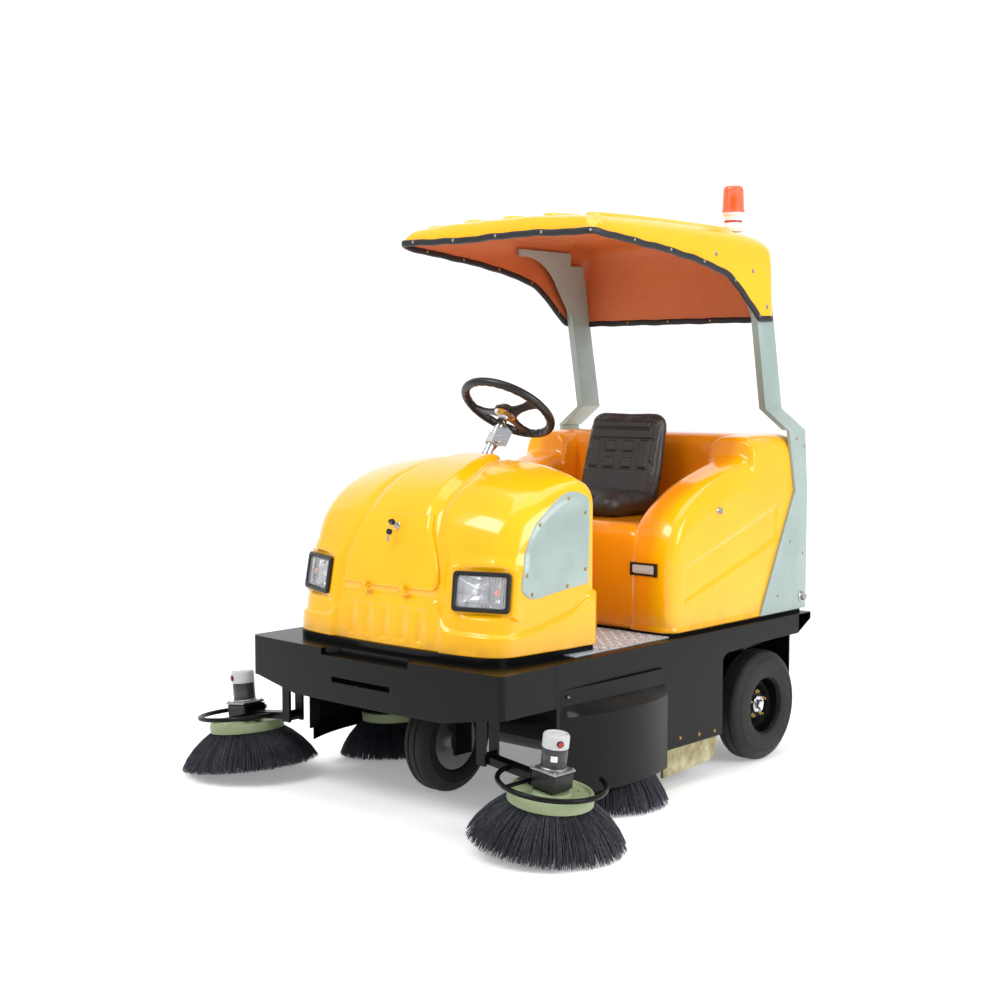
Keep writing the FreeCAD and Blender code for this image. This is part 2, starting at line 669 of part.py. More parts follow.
def centre_profile():
    """Side view between the boxes: seat base and the wall behind the seat."""
    z0 = s.deck_top + s.body_seal
    seat = z0 + s.seat_box_height
    zt = z0 + s.body_height
    rear = s.deck_rear - s.body_rear_gap
    wall = s.rear_wall_front
    return wire(yz([(s.body_front, z0), (s.body_front - 10, seat), (wall - 20, seat), (wall, zt), (rear, zt),
                    (rear, z0)], 0))


def make_rear_body():
    w = half - s.body_inset
    box_in = w - s.box_width
    t = s.body_thk

    def placed(outline, x0, x1, inset):
        solid = prism(outline, (x1 - x0 - 2 * inset, 0, 0), inset)
        solid.translate(Vector(x0 + inset, 0, 0))
        return solid

    def block(inset):
        sides = placed(box_profile(), box_in, w, inset)
        middle = placed(centre_profile(), -box_in - 2 * inset, box_in + 2 * inset, inset)
        return middle.fuse([sides, mirrored(sides)])

    outer = block(0)
    inner = block(t)
    lowered = inner.copy()
    lowered.translate(Vector(0, 0, -3 * t))
    shell = outer.cut(inner.fuse(lowered))
    keep("rear_body", feature("rear_body_shell", shell))


def make_pillars():
    """Corner panel, bend and upright channel of each canopy pillar, as one piece."""
    z0 = s.deck_top + s.body_seal
    gap = 0.6
    outer = half - s.body_inset + gap + s.corner_panel_thk
    inner = outer - s.corner_panel_thk
    rear = s.deck_rear - s.body_rear_gap + gap + s.corner_panel_thk
    post_out = s.canopy_half - s.canopy_thk - 8
    post_in = post_out - s.pillar_width
    low_bend = z0 + s.body_height + 12
    top = s.canopy_top - 100
    roof = s.canopy_top - 48
    lean = (s.pillar_bend - top) * 0.19
    y_bend = s.rear_wall_front + 138
    front_bottom = s.rear_wall_front - 40
    panel = [(front_bottom, z0 + 2), (y_bend + 58, z0 + 460), (y_bend + 6, low_bend),
             (y_bend + 6 + s.pillar_depth, low_bend),
             (rear, z0 + 470), (rear, z0 + 30), ((rear - 9, z0 + 9), (rear - 30, z0 + 2))]
    solids = [prism(wire(yz(panel, inner)), (s.corner_panel_thk, 0, 0))]
    solids.append(Part.makeBox(s.corner_return, s.corner_panel_thk, 468,
                               Vector(outer - s.corner_return, rear - s.corner_panel_thk, z0 + 2)))
    bend = wire(xz([(inner - 16, low_bend), (post_in, s.pillar_bend), (post_out, s.pillar_bend),
                    (outer, low_bend)],
                   y_bend + 2))
    solids.append(prism(bend, (0, s.pillar_depth + 2, 0)))
    post = wire(yz([(y_bend, s.pillar_bend), (y_bend + lean, top), (y_bend + lean + s.pillar_depth - 6, top),
                    (y_bend + s.pillar_depth, s.pillar_bend)], post_in))
    solids.append(prism(post, (s.pillar_width, 0, 0)))
    gusset = wire(yz([(y_bend + lean * 0.55, s.canopy_skirt + 10), (y_bend + lean - 50, roof - 150),
                      ((y_bend + lean - 120, roof - 70), (y_bend + lean - 290, roof - 30)),
                      (y_bend + lean - 290, roof), (y_bend + lean + 30, roof),
                      (y_bend + lean + 30, top - 10)], post_in))
    solids.append(prism(gusset, (6, 0, 0)))
    shape = solids[0].multiFuse(solids[1:]).removeSplitter().cut(PARTS["canopy"].Shape)
    for side, sign in SIDES:
        keep(f"canopy_pillar_{side}", feature(f"pillar_{side}", on_side(shape, sign)))


def canopy_profile():
    front, rear, top = s.canopy_front, s.canopy_rear, s.canopy_top
    lip, skirt = s.canopy_lip, s.canopy_skirt
    edge = top - 10
    lower = [(rear - 150, skirt), ((rear - 250, lip - 148), (rear - 400, lip - 96)), (front + 110, lip - 12)]
    upper = [(front + 50, edge), ((front + 420, top + 4), (rear - 180, top - 14)),
             ((rear - 70, top - 40), (rear - 42, top - 120))]
    return wire(yz([(front, lip), *upper, (rear, skirt), *lower], 0))


def canopy_front_view():
    w = s.canopy_half
    t = s.canopy_taper
    top = s.canopy_top + 4
    low = s.canopy_skirt - 20
    r = 60.0
    c = r * (1 - math.sqrt(0.5))
    edge = top - 14
    return wire(xz([(-w, low), (-w + t, edge - r), ((-w + t + c, edge - c), (-w + t + r, edge)),
                    ((0, top), (w - t - r, edge)), ((w - t - c, edge - c), (w - t, edge - r)), (w, low)],
                   s.canopy_front - 50))


def make_canopy():
    long_y = s.canopy_rear - s.canopy_front + 100
    wide = 2 * s.canopy_half + 100
    parts = []
    for inset in (0.0, s.canopy_thk):
        side = canopy_profile()
        side.translate(Vector(-wide / 2, 0, 0))
        parts.append([prism(side, (wide, 0, 0), inset), prism(canopy_front_view(), (0, long_y, 0), inset)])
    outer = parts[0][0].common(parts[0][1])
    inner = parts[1][0].common(parts[1][1])
    shell = outer.cut(inner)
    lowered = inner.copy()
    lowered.translate(Vector(0, 0, -3 * s.canopy_thk))
    shell = shell.cut(lowered)
    keep("canopy", feature("canopy_shell", shell))


def make_beacon():
    foot = "dims.canopy_top - dims.beacon_drop"
    low = cylinder("beacon_foot", "dims.beacon_base_dia / 2", "dims.beacon_base_height",
                   ("dims.beacon_side", "dims.beacon_back", foot))
    keep("beacon_base", low)
    dome = cylinder("beacon_barrel", "dims.beacon_dia / 2", "dims.beacon_height",
                    ("dims.beacon_side", "dims.beacon_back", foot + " + dims.beacon_base_height"))
    doc.recompute()
    rounded = doc.addObject("Part::Fillet", "beacon_rounded")
    rounded.Base = dome
    top_edge = max(range(len(dome.Shape.Edges)), key=lambda i: dome.Shape.Edges[i].BoundBox.ZMin) + 1
    rounded.Edges = [(top_edge, 14, 14)]
    keep("beacon_dome", rounded)


# ---------------------------------------------------------------- seat, battery, controls

def make_seat():
    z0 = s.deck_top + s.body_seal + s.seat_box_height + 2
    w = s.seat_width / 2
    zc = z0 + s.cushion_height
    back = s.seat_front + s.seat_depth
    lean = math.tan(math.radians(s.backrest_lean))
    top = zc + s.backrest_height
    off = lean * s.backrest_height
    profile = [(s.seat_front, z0), (s.seat_front - 8, zc - 40),
               ((s.seat_front + 4, zc - 10), (s.seat_front + 40, zc)),
               (back - s.backrest_thk - 10, zc - 18), (back - s.backrest_thk + off, top - 25),
               ((back - s.backrest_thk / 2 + off, top), (back + off - 4, top - 25)), (back, zc), (back - 20,
                                                                                                  z0)]
    solid = prism(wire(yz(profile, -w)), (2 * w, 0, 0))
    keep("seat", feature("seat_block", solid))


def make_battery():
    z0 = s.deck_top + 2
    x = half - s.body_inset - s.box_width - 20
    y0 = s.body_front + 40
    height = min(s.battery_height, s.seat_box_height - 30)
    keep("battery_pack", feature("battery_block", Part.makeBox(2 * x, 380, height, Vector(-x, y0, z0))))


def make_steering():
    column = Part.makeCylinder(s.column_dia / 2, s.column_length - 32, Vector(0, 0, -s.column_length))
    box_part = Part.makeBox(42, 36, 60, Vector(12, -18, -150))
    shape = column.fuse(box_part)
    obj = feature("column_tube", shape)
    obj.Placement = column_place()
    keep("steering_column", obj)
    ring = Part.makeTorus((s.steer_wheel_dia - s.steer_rim_dia) / 2, s.steer_rim_dia / 2)
    hub = Part.makeCylinder(34, 34, Vector(0, 0, -30))
    spokes = []
    for angle in (30, 150, 270):
        bar = Part.makeBox((s.steer_wheel_dia - s.steer_rim_dia) / 2 - 20, 30, 8, Vector(20, -15, -10))
        bar.rotate(Vector(), Vector(0, 0, 1), angle)
        spokes.append(bar)
    wheel = feature("steering_wheel_ring", ring.multiFuse([hub] + spokes))
    wheel.Placement = column_place()
    keep("steering_wheel", wheel)


def make_pedals():
    z0 = s.deck_top + s.step_thk + 1
    y0 = s.hood_rear + s.hood_rear_bow + 12
    solids = []
    for x in (90, -170):
        pedal = Part.makeBox(s.pedal_width, 8, 120, Vector(x, 0, 0))
        pedal.rotate(Vector(), Vector(1, 0, 0), 35)
        pedal.translate(Vector(0, y0 + 80, z0 + 26))
        foot = Part.makeBox(24, 90, 22, Vector(x + s.pedal_width / 2 - 12, y0 - 6, z0))
        stem = Part.makeBox(16, 10, 60, Vector(x + s.pedal_width / 2 - 8, y0 + 60, z0 + 4))
        solids.append(pedal.multiFuse([foot, stem]))
    keep("foot_pedals", feature("pedal_pair", Part.makeCompound(solids)))


# ---------------------------------------------------------------- wheels

def tyre_shape(dia, width, rim, crown):
    """Tyre about the X axis, centred on the origin: round shoulders over a seat for the rim."""
    r, w, ri = dia / 2, width / 2, rim / 2
    profile = [(-w + 12, ri), (-w, ri + 14), (-w, r - crown * 2),
               ((-w + crown * 0.55, r - crown * 0.5), (-w + crown * 1.6, r - 2)),
               ((0, r), (w - crown * 1.6, r - 2)), ((w - crown * 0.55, r - crown * 0.5), (w, r - crown * 2)),
               (w, ri + 14), (w - 12, ri)]
    outline = wire([tuple((p[0], 0, p[1]) for p in item) if isinstance(item[0], tuple) else (item[0], 0,
                                                                                             item[1])
                    for item in profile])
    return Part.Face(outline).revolve(Vector(), Vector(1, 0, 0), 360)


def rim_shape(width, rim, wall, bore, dish):
    """Rim about the X axis: barrel, disc and hub with a bore."""
    w, r = width / 2, rim / 2 - 0.3
    profile = [(-w + 14, r), (-w + 14, r - wall), (dish - wall, r - wall), (dish - wall, 44), (dish - 34, 40),
               (dish - 34, bore), (dish + 22, bore), (dish + 22, 32), (dish, 36), (dish, r - wall),
               (w - 14, r - wall), (w - 14, r)]
    outline = wire([(x, 0, z) for x, z in profile])
    return Part.Face(outline).revolve(Vector(), Vector(1, 0, 0), 360)


def make_rear_wheels():
    x_mid = half + s.wheel_outset - s.tyre_width / 2
    radius = s.wheel_dia / 2
    tyre = tyre_shape(s.wheel_dia, s.tyre_width, s.rim_dia, 14)
    rim = rim_shape(s.tyre_width, s.rim_dia, s.rim_wall, s.axle_dia / 2 + s.axle_fit, 4)
    for side, sign in SIDES:
        for node, shape in ((f"rear_tyre_{side}", tyre), (f"rear_rim_{side}", rim)):
            obj = feature(node + "_ring", on_side(shape, sign))
            obj.Placement = Placement(Vector(sign * x_mid, s.axle_back, radius), Rotation())
            keep(node, obj)
    bracket_in = half - s.rail_inset - 14
    stubs = []
    for side, sign in SIDES:
        plate = Part.makeBox(12, 110, s.rail_bottom - radius + 50,
                             Vector(bracket_in, s.axle_back - 55, radius - 50))
        shaft = Part.makeCylinder(s.axle_dia / 2, x_mid + 24 - bracket_in,
                                  Vector(bracket_in, s.axle_back, radius),
                                  Vector(1, 0, 0))
        collar = Part.makeCylinder(s.axle_dia / 2 + 8, max(x_mid - 34 - bracket_in, 14),
                                   Vector(bracket_in, s.axle_back, radius), Vector(1, 0, 0))
        stubs.append(on_side(plate.multiFuse([shaft, collar]), sign))
    keep("stub_axles", feature("stub_axle_pair", Part.makeCompound(stubs)))


def make_front_wheel():
    radius = s.front_wheel_dia / 2
    place = Placement(Vector(0, s.fork_back, radius), Rotation())
    tyre = feature("front_tyre_ring", tyre_shape(s.front_wheel_dia, s.front_tyre_width, s.front_rim_dia, 12))
    tyre.Placement = place
    keep("front_tyre", tyre)
    w = s.front_tyre_width / 2
    r = s.front_rim_dia / 2 - 0.3
    bore = s.axle_dia / 2 + s.axle_fit
    rim = Part.makeCylinder(r, 2 * w - 24, Vector(-w + 12, 0, 0), Vector(1, 0, 0))
    hub = Part.makeCylinder(40, 2 * w + 8, Vector(-w - 4, 0, 0), Vector(1, 0, 0))
    rim = rim.fuse(hub).cut(Part.makeCylinder(bore, 4 * w, Vector(-2 * w, 0, 0), Vector(1, 0, 0)))
    rim_obj = feature("front_rim_disc", rim)
    rim_obj.Placement = place
    keep("front_rim", rim_obj)
    leg_x = w + s.fork_gap
    crown_z = 2 * radius + s.fork_gap
    top = s.rail_bottom + s.rail_height
    solids = []
    for sign in (1, -1):
        x0 = leg_x if sign > 0 else -leg_x - s.fork_leg_thk
        solids.append(Part.makeBox(s.fork_leg_thk, s.fork_leg_width, crown_z - radius + 40,
                                   Vector(x0, s.fork_back - s.fork_leg_width / 2, radius - 40)))
    wide = 2 * (leg_x + s.fork_leg_thk)
    crown = Part.makeBox(wide, s.fork_leg_width, 14, Vector(-wide / 2, s.fork_back - s.fork_leg_width / 2,
                                                            crown_z))
    kingpin = Part.makeCylinder(s.kingpin_dia / 2, top + 12 - crown_z, Vector(0, s.fork_back, crown_z))
    axle = Part.makeCylinder(s.axle_dia / 2, wide, Vector(-wide / 2, s.fork_back, radius), Vector(1, 0, 0))
    keep("steer_fork", feature("fork_weldment", crown.multiFuse(solids + [kingpin, axle])))


# ---------------------------------------------------------------- brushes

def brush_shape(dia):
    """Disc brush about +Z: bristle tips at z = 0, hub on top."""
    tip, root = dia / 2, s.hub_dia / 2 - 14
    h = s.bristle_height
    profile = [(tip, 0), (tip, 6), (root + 6, h), (root - 52, h), (tip - 96, 0)]
    bristles = Part.Face(wire([(x, 0, z) for x, z in profile])).revolve(Vector(), Vector(0, 0, 1), 360)
    hub = Part.makeCylinder(s.hub_dia / 2, s.hub_thk, Vector(0, 0, h - 2))
    return bristles.fuse(hub)


def motor_shape():
    """Gearbox, flange and motor above a brush hub, about +Z from the tips' plane."""
    z = s.bristle_height + s.hub_thk + s.hub_gap
    g = s.gearbox_side
    gearbox = Part.makeBox(g, g, s.gearbox_height, Vector(-g / 2, -g / 2, z))
    flange = Part.makeBox(g + 6, g + 6, 8, Vector(-g / 2 - 3, -g / 2 - 3, z + s.gearbox_height))
    barrel = Part.makeCylinder(s.motor_dia / 2, s.motor_height, Vector(0, 0, z + s.gearbox_height + 6))
    return gearbox.multiFuse([flange, barrel])


def arm_shape(length, guarded):
    """Arm from its hinge sleeve at -X to the gearbox's mounting plate at the brush axis."""
    z = s.bristle_height + s.hub_thk + s.hub_gap
    g = s.gearbox_side / 2 + 0.5
    hinge_r = s.arm_height / 2 + 6
    bar = Part.makeBox(length - g - 6, s.arm_width, s.arm_height, Vector(-length, -s.arm_width / 2, z + 4))
    heel = Part.makeBox(8, s.gearbox_side, s.gearbox_height - 8, Vector(-g - 8, -s.gearbox_side / 2, z + 4))
    hinge_z = z + 4 + s.arm_height / 2
    sleeve = Part.makeCylinder(hinge_r, s.arm_width, Vector(-length, -s.arm_width / 2, hinge_z),
                               Vector(0, 1, 0))
    pin_hole = Part.makeCylinder(s.arm_pin_dia / 2 + s.axle_fit, s.arm_width + 20,
                                 Vector(-length, -s.arm_width / 2 - 10, hinge_z), Vector(0, 1, 0))
    solids = [heel, sleeve]
    if guarded:
        ring_z = z + 17
        ring = Part.makeTorus(s.guard_radius, s.guard_tube / 2, Vector(0, 0, ring_z), Vector(0, 0, 1),
                              -180, 180, s.guard_arc)
        ring.rotate(Vector(), Vector(0, 0, 1), 180)
        strut = Part.makeBox(8, s.guard_radius - g + 8, 10, Vector(-g - 8, -s.guard_radius, ring_z - 5))
        solids += [ring, strut]
    shape = bar.multiFuse(solids)
    return shape.cut(pin_hole)


def brush_frame(x, y, tilt, dia, sign):
    """Placement of a brush's own frame: its tips' plane tipped outwards about Y."""
    low = math.sin(math.radians(tilt)) * dia / 2 + s.brush_clear
    return Placement(Vector(sign * x, y, low), Rotation(Vector(0, 1, 0), sign * tilt))


def hinge_of(x, y, tilt, dia, length):
    """Where an arm's hinge sleeve lies in the machine's frame, on the left side."""
    local = Vector(-length, 0, s.bristle_height + s.hub_thk + s.hub_gap + 4 + s.arm_height / 2)
    return brush_frame(x, y, tilt, dia, 1).multVec(local)


def make_side_brushes():
    rows = (("front", front_x, front_y, s.brush_tilt, s.brush_dia, s.arm_length, True),
            ("mid", mid_x, s.mid_brush_back, s.mid_tilt, s.mid_brush_dia, s.mid_arm_length, False))
    for end, x, y, tilt, dia, length, guarded in rows:
        for side, sign in SIDES:
            frame = brush_frame(x, y, tilt, dia, sign)
            arm = arm_shape(length, guarded)
            shapes = {f"{end}_brush_{side}": brush_shape(dia)}
            if end == "front":
                shapes[f"front_brush_arm_{side}"] = arm
                shapes[f"front_brush_motor_{side}"] = motor_shape()
            else:
                corner = Vector(-s.gearbox_side / 2 - 6, -s.arm_width / 2,
                                s.bristle_height + s.hub_thk + s.hub_gap + 10)
                link = Part.makeBox(10, s.arm_width, 20, corner)
                shapes[f"mid_brush_arm_{side}"] = arm.multiFuse([motor_shape(), link])
            for node, shape in shapes.items():
                obj = feature(node + "_part", on_side(shape, sign))
                obj.Placement = frame
                keep(node, obj)


def make_broom():
    r = s.broom_dia / 2
    z = r + s.brush_clear
    w = s.broom_width / 2
    core = Part.makeCylinder(r, 2 * w, Vector(-w, s.broom_back, z), Vector(1, 0, 0))
    bore = Part.makeCylinder(s.axle_dia / 2 + s.axle_fit, 2 * w + 10, Vector(-w - 5, s.broom_back, z),
                             Vector(1, 0, 0))
    keep("main_brush", feature("main_brush_roll", core.cut(bore)))
    t = s.panel_thk
    ro = r + s.broom_gap
    end = w + 10
    hood = Part.makeCylinder(ro + t, 2 * end + 2 * t, Vector(-end - t, s.broom_back, z), Vector(1, 0, 0))
    inner = Part.makeCylinder(ro, 2 * end, Vector(-end, s.broom_back, z), Vector(1, 0, 0))
    mouth = Part.makeBox(2 * end + 100, 4 * ro, 2 * ro, Vector(-end - 50, s.broom_back - 2 * ro,
                                                               z - 2 * ro - 70))
    exit_gap = Part.makeBox(2 * end, 2 * ro, ro * 0.9, Vector(-end, s.broom_back + 20, z - ro * 0.6))
    shell = hood.cut(inner).cut(mouth).cut(exit_gap)
    shaft = Part.makeCylinder(s.axle_dia / 2, 2 * end + t, Vector(-end - t / 2, s.broom_back, z),
                              Vector(1, 0, 0))
    posts = []
    for sign in (1, -1):
        x0 = end - 40 if sign > 0 else -end
        posts.append(Part.makeBox(40, 40, s.rail_bottom - z - ro + 4,
                                  Vector(x0, s.broom_back - 20, z + ro - 4)))
    shape = shell.multiFuse([shaft] + posts)
    reach = half - s.rail_inset - s.rail_width / 2
    cross = Part.makeBox(2 * reach, 60, 16, Vector(-reach, s.broom_back - 30, s.rail_bottom - 16))
    keep("broom_housing", feature("broom_cover", shape.fuse(cross)))


def make_hopper():
    x = half - s.rail_inset - 14 - s.hopper_gap - 5
    y0 = s.broom_back + s.broom_dia / 2 + s.broom_gap + s.panel_thk + s.hopper_gap
    y1 = s.deck_rear - s.lip_depth - 8
    z0, z1 = s.hopper_bottom, s.rail_bottom - 50 - s.hopper_gap
    t = s.hopper_thk
    outer = Part.makeBox(2 * x, y1 - y0, z1 - z0, Vector(-x, y0, z0))
    inner = Part.makeBox(2 * (x - t), y1 - y0 - t, z1 - z0 - 2 * t, Vector(-x + t, y0 - 1, z0 + t))
    face_x = half - s.hopper_face_inset
    face = Part.makeBox(2 * face_x, t + 2, s.deck_top - 80 - 130, Vector(-face_x, y1 - 1, 130))
    grip = Part.makeBox(220, 26, 20, Vector(-110, y1 + t, s.deck_top - 150))
    keep("hopper", feature("hopper_bin", outer.cut(inner).multiFuse([face, grip])))


# ---------------------------------------------------------------- build

lug_front_y = -s.deck_front + 158
lug_rear_y = s.deck_rear - s.lip_depth - 50
lug_z = s.rail_bottom - 28
lamp_front = -s.deck_front + s.hood_setback + 50
lamp_inner = half - s.hood_inset - s.hood_waist - s.lamp_from_side
lid_pin_y = -s.deck_front + s.hood_setback + 9
lid_pin_z = s.deck_top + s.hood_seal + s.lid_rise - 5
front_x = half + s.brush_out
front_y = -s.deck_front + s.brush_forward
mid_x = half - s.mid_brush_inset
hinge = hinge_of(front_x, front_y, s.brush_tilt, s.brush_dia, s.arm_length)
brush_hinge_x, brush_hinge_y, brush_hinge_z = hinge.x, hinge.y, hinge.z
hinge = hinge_of(mid_x, s.mid_brush_back, s.mid_tilt, s.mid_brush_dia, s.mid_arm_length)
mid_hinge_x, mid_hinge_z = hinge.x, hinge.z

make_frame()
make_deck()
make_front_bumper()
make_side_panels()
make_rear_bumper()
make_side_guards()
make_skirts()
make_hood()
make_rear_body()
make_canopy()
make_pillars()
make_beacon()
make_seat()
make_battery()
make_steering()
make_pedals()
make_rear_wheels()
make_front_wheel()
make_side_brushes()
make_broom()
make_hopper()

doc.recompute()
for obj in doc.Objects:
    if "Invalid" in obj.State or "Error" in obj.State:
        raise RuntimeError(f"{obj.Label} did not build: {obj.State}")
for node, obj in PARTS.items():
    if obj.Shape.isNull() or not obj.Shape.isValid():
        raise RuntimeError(f"{node} has no valid shape")

os.makedirs("parts", exist_ok=True)
for node, obj in PARTS.items():
    obj.Shape.exportStep(f"parts/{node}.step")
    solids = obj.Shape.Solids
    print(f"{node}: {len(solids)} solid(s), {sum(one.Volume for one in solids) / 1e6:.3f} litres")
print(len(PARTS), "nodes")
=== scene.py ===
"""Ride-on street sweeper: paint, rubber, bristles and moulded panels over its CAD frame."""
import json
import math

import bmesh
import bpy
import numpy as np
from mathutils import Matrix, Vector


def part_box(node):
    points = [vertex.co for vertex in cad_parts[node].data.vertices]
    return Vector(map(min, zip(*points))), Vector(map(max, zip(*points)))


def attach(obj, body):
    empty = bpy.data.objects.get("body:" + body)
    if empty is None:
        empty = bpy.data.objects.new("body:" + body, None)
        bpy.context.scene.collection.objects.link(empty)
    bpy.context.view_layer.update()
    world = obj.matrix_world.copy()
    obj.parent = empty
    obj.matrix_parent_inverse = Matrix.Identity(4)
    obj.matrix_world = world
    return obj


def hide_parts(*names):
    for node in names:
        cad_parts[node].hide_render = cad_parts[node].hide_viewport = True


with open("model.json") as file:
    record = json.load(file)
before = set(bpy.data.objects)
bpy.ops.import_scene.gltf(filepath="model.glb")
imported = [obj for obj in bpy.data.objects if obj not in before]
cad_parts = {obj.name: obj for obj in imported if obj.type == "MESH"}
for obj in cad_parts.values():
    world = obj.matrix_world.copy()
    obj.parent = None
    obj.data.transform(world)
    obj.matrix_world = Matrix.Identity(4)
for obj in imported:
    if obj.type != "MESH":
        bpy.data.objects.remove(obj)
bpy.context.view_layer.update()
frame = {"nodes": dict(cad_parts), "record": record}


def slot_of(node):
    """Material slot that the record gives a node."""
    return next(part["material_slot"] for part in frame["record"]["subparts"] if part["node"] == node)


# ---------------------------------------------------------------- finishes

class Level:
    """A shader socket that takes part in sums: each operator adds the Math node it stands for."""

    def __init__(self, finish, socket):
        self.finish = finish
        self.socket = socket

    def _math(self, operation, first, second=0.0):
        return self.finish.node("Math", {"operation": operation}, {0: first, 1: second})

    def __add__(self, other):
        return self._math("ADD", self, other)

    def __radd__(self, other):
        return self._math("ADD", other, self)

    def __sub__(self, other):
        return self._math("SUBTRACT", self, other)

    def __rsub__(self, other):
        return self._math("SUBTRACT", other, self)

    def __mul__(self, other):
        return self._math("MULTIPLY", self, other)

    def __rmul__(self, other):
        return self._math("MULTIPLY", other, self)

    def least(self, other):
        return self._math("MINIMUM", self, other)

    def sine(self):
        return self._math("SINE", self)

    def ramp(self, low, high, start=0.0, end=1.0):
        """Eased step from start to end as the socket goes from low to high."""
        return self.finish.node("MapRange", {"interpolation_type": "SMOOTHSTEP"},
                                {"Value": self, "From Min": low, "From Max": high, "To Min": start, "To Max": end},
                                out="Result")


class Nodes:
    """A node tree to which nodes are added by type, settings and socket values."""

    kinds = ("ShaderNode",)

    def put(self, socket, value):
        if isinstance(value, Level):
            self.tree.links.new(value.socket, socket)
        else:
            socket.default_value = value

    def node(self, kind, settings=None, inputs=None, out=0):
        made = self.tree.nodes.new(next(start + kind for start in self.kinds if hasattr(bpy.types, start + kind)))
        for key, value in (settings or {}).items():
            if key == "stops":
                ramp = made.color_ramp
                while len(ramp.elements) < len(value):
                    ramp.elements.new(0.5)
                for element, (place, colour) in zip(ramp.elements, value):
                    element.position = place
                    element.color = (*colour, 1.0)
            else:
                setattr(made, key, value)
        for key, value in (inputs or {}).items():
            self.put(made.inputs[key], value)
        return Level(self, made.outputs[out])


class Finish(Nodes):
    """One material: a Principled shader, and the nodes that vary it."""

    def __init__(self, name, colour, roughness, metallic=0.0, **constants):
        self.material = bpy.data.materials.new(name)
        self.material.use_nodes = True
        self.tree = self.material.node_tree
        self.shader = self.tree.nodes["Principled BSDF"]
        self.set("Base Color", (*colour, 1.0))
        self.set("Roughness", roughness)
        self.set("Metallic", metallic)
        for socket, value in constants.items():
            self.set(socket.replace("_", " "), value)

    def set(self, socket, value):
        self.put(self.shader.inputs[socket], value)

    def place(self):
        return self.node("TexCoord", out="Object")

    def axis(self, letter):
        return self.node("SeparateXYZ", inputs={0: self.place()}, out=letter)

    def noise(self, scale, detail=3.0, rough=0.5, stretch=(1, 1, 1)):
        at = self.place()
        if stretch != (1, 1, 1):
            at = self.node("Mapping", inputs={"Vector": at, "Scale": stretch})
        return self.node("TexNoise", inputs={"Vector": at, "Scale": scale, "Detail": detail, "Roughness": rough})

    def cells(self, scale):
        """Distance from the middle of each grain."""
        return self.node("TexVoronoi", {"feature": "F1"}, {"Vector": self.place(), "Scale": scale})

    def tint(self, mask, dark, light):
        """Base colour that goes from dark to light as the mask goes from 0 to 1."""
        return self.mix(mask, (*dark, 1.0), (*light, 1.0))

    def mix(self, mask, first, second):
        return self.node("Mix", {"data_type": "RGBA"}, {0: mask, 6: first, 7: second}, out=2)

    def bump(self, height, depth, strength=1.0):
        self.set("Normal", self.node("Bump", inputs={"Height": height, "Distance": depth, "Strength": strength}))


def rgb(r, g, b):
    """Linear colour of an sRGB triple from 0 to 255."""
    return tuple(((c / 255 + 0.055) / 1.055) ** 2.4 if c > 10 else c / 255 / 12.92 for c in (r, g, b))


DUST_HEIGHT = 0.12


def gel_coat(name, colour, shade):
    """Glossy polyester skin, grimed along its foot, and deeper in colour round the driver as painted shade from the
    canopy.
    """
    f = Finish(name, colour, 0.2, Coat_Weight=0.55, Coat_Roughness=0.04, Specular_IOR_Level=0.3)
    cloud = f.noise(2.2, 4, 0.6)
    grime = f.axis("Z").ramp(0.54, 0.60, 0.4, 0.0) * f.noise(17, 5, 0.65).ramp(0.38, 0.70)
    # Painted shade: faces round the seat and driver, under the canopy, are mixed towards a deeper orange that stands
    # for the canopy's shadow.
    canopy_shade_mask = (f.axis("X") * f.axis("X")).ramp(0.19, 0.25, 1.0, 0.0) * f.axis("Y").ramp(0.04, 0.09) \
        * f.axis("Y").ramp(0.92, 0.955, 1.0, 0.0) * f.axis("Z").ramp(1.3, 1.4, 1.0, 0.0)
    paint = f.mix(canopy_shade_mask * 0.75, f.tint(cloud.ramp(0.25, 0.75), shade, colour), (*rgb(240, 138, 20), 1))
    f.set("Base Color", f.mix(grime, paint, (*rgb(176, 126, 44), 1)))
    f.set("Roughness", cloud * 0.10 + 0.14 + grime * 0.35)
    f.bump(f.noise(38, 2, 0.4) * 0.6 + f.noise(420, 2, 0.5) * 0.012, 0.0016, 0.35)
    return f.material


def fibreglass_back():
    """Bare back of the mouldings: chopped glass mat under orange resin."""
    f = Finish("canopy_lining", rgb(214, 118, 62), 0.55, Coat_Weight=0.12, Coat_Roughness=0.35)
    mats = f.cells(95).ramp(0.05, 0.65)
    cloud = f.noise(3.5, 5, 0.6)
    f.set("Base Color", f.mix(mats * 0.25, f.tint(cloud, rgb(196, 98, 48), rgb(224, 130, 70)), (*rgb(182, 92, 46), 1)))
    f.set("Roughness", cloud * 0.25 + 0.42)
    f.bump(mats + f.noise(160, 4, 0.6) * 0.7, 0.0009, 0.5)
    return f.material


def satin_black():
    """Black enamel with road dust and a few long scratches."""
    f = Finish("chassis_black", rgb(9, 9, 10), 0.3, Coat_Weight=0.14, Coat_Roughness=0.10, Specular_IOR_Level=0.1)
    dust = f.noise(5, 5, 0.62).ramp(0.35, 0.75) * f.axis("Z").ramp(0.0, 0.5, 0.5, 0.12)
    scratch = f.noise(9, 6, 0.8, (1, 1, 9)).ramp(0.66, 0.74)
    base = f.mix(dust, (*rgb(8, 8, 9), 1), (*rgb(21, 20, 20), 1))
    f.set("Base Color", f.mix(scratch * 0.12, base, (*rgb(84, 81, 78), 1)))
    f.set("Roughness", dust * 0.25 + 0.30)
    f.bump(f.noise(520, 2, 0.5) + f.noise(24, 2, 0.5) * 2, 0.0004, 0.25)
    return f.material


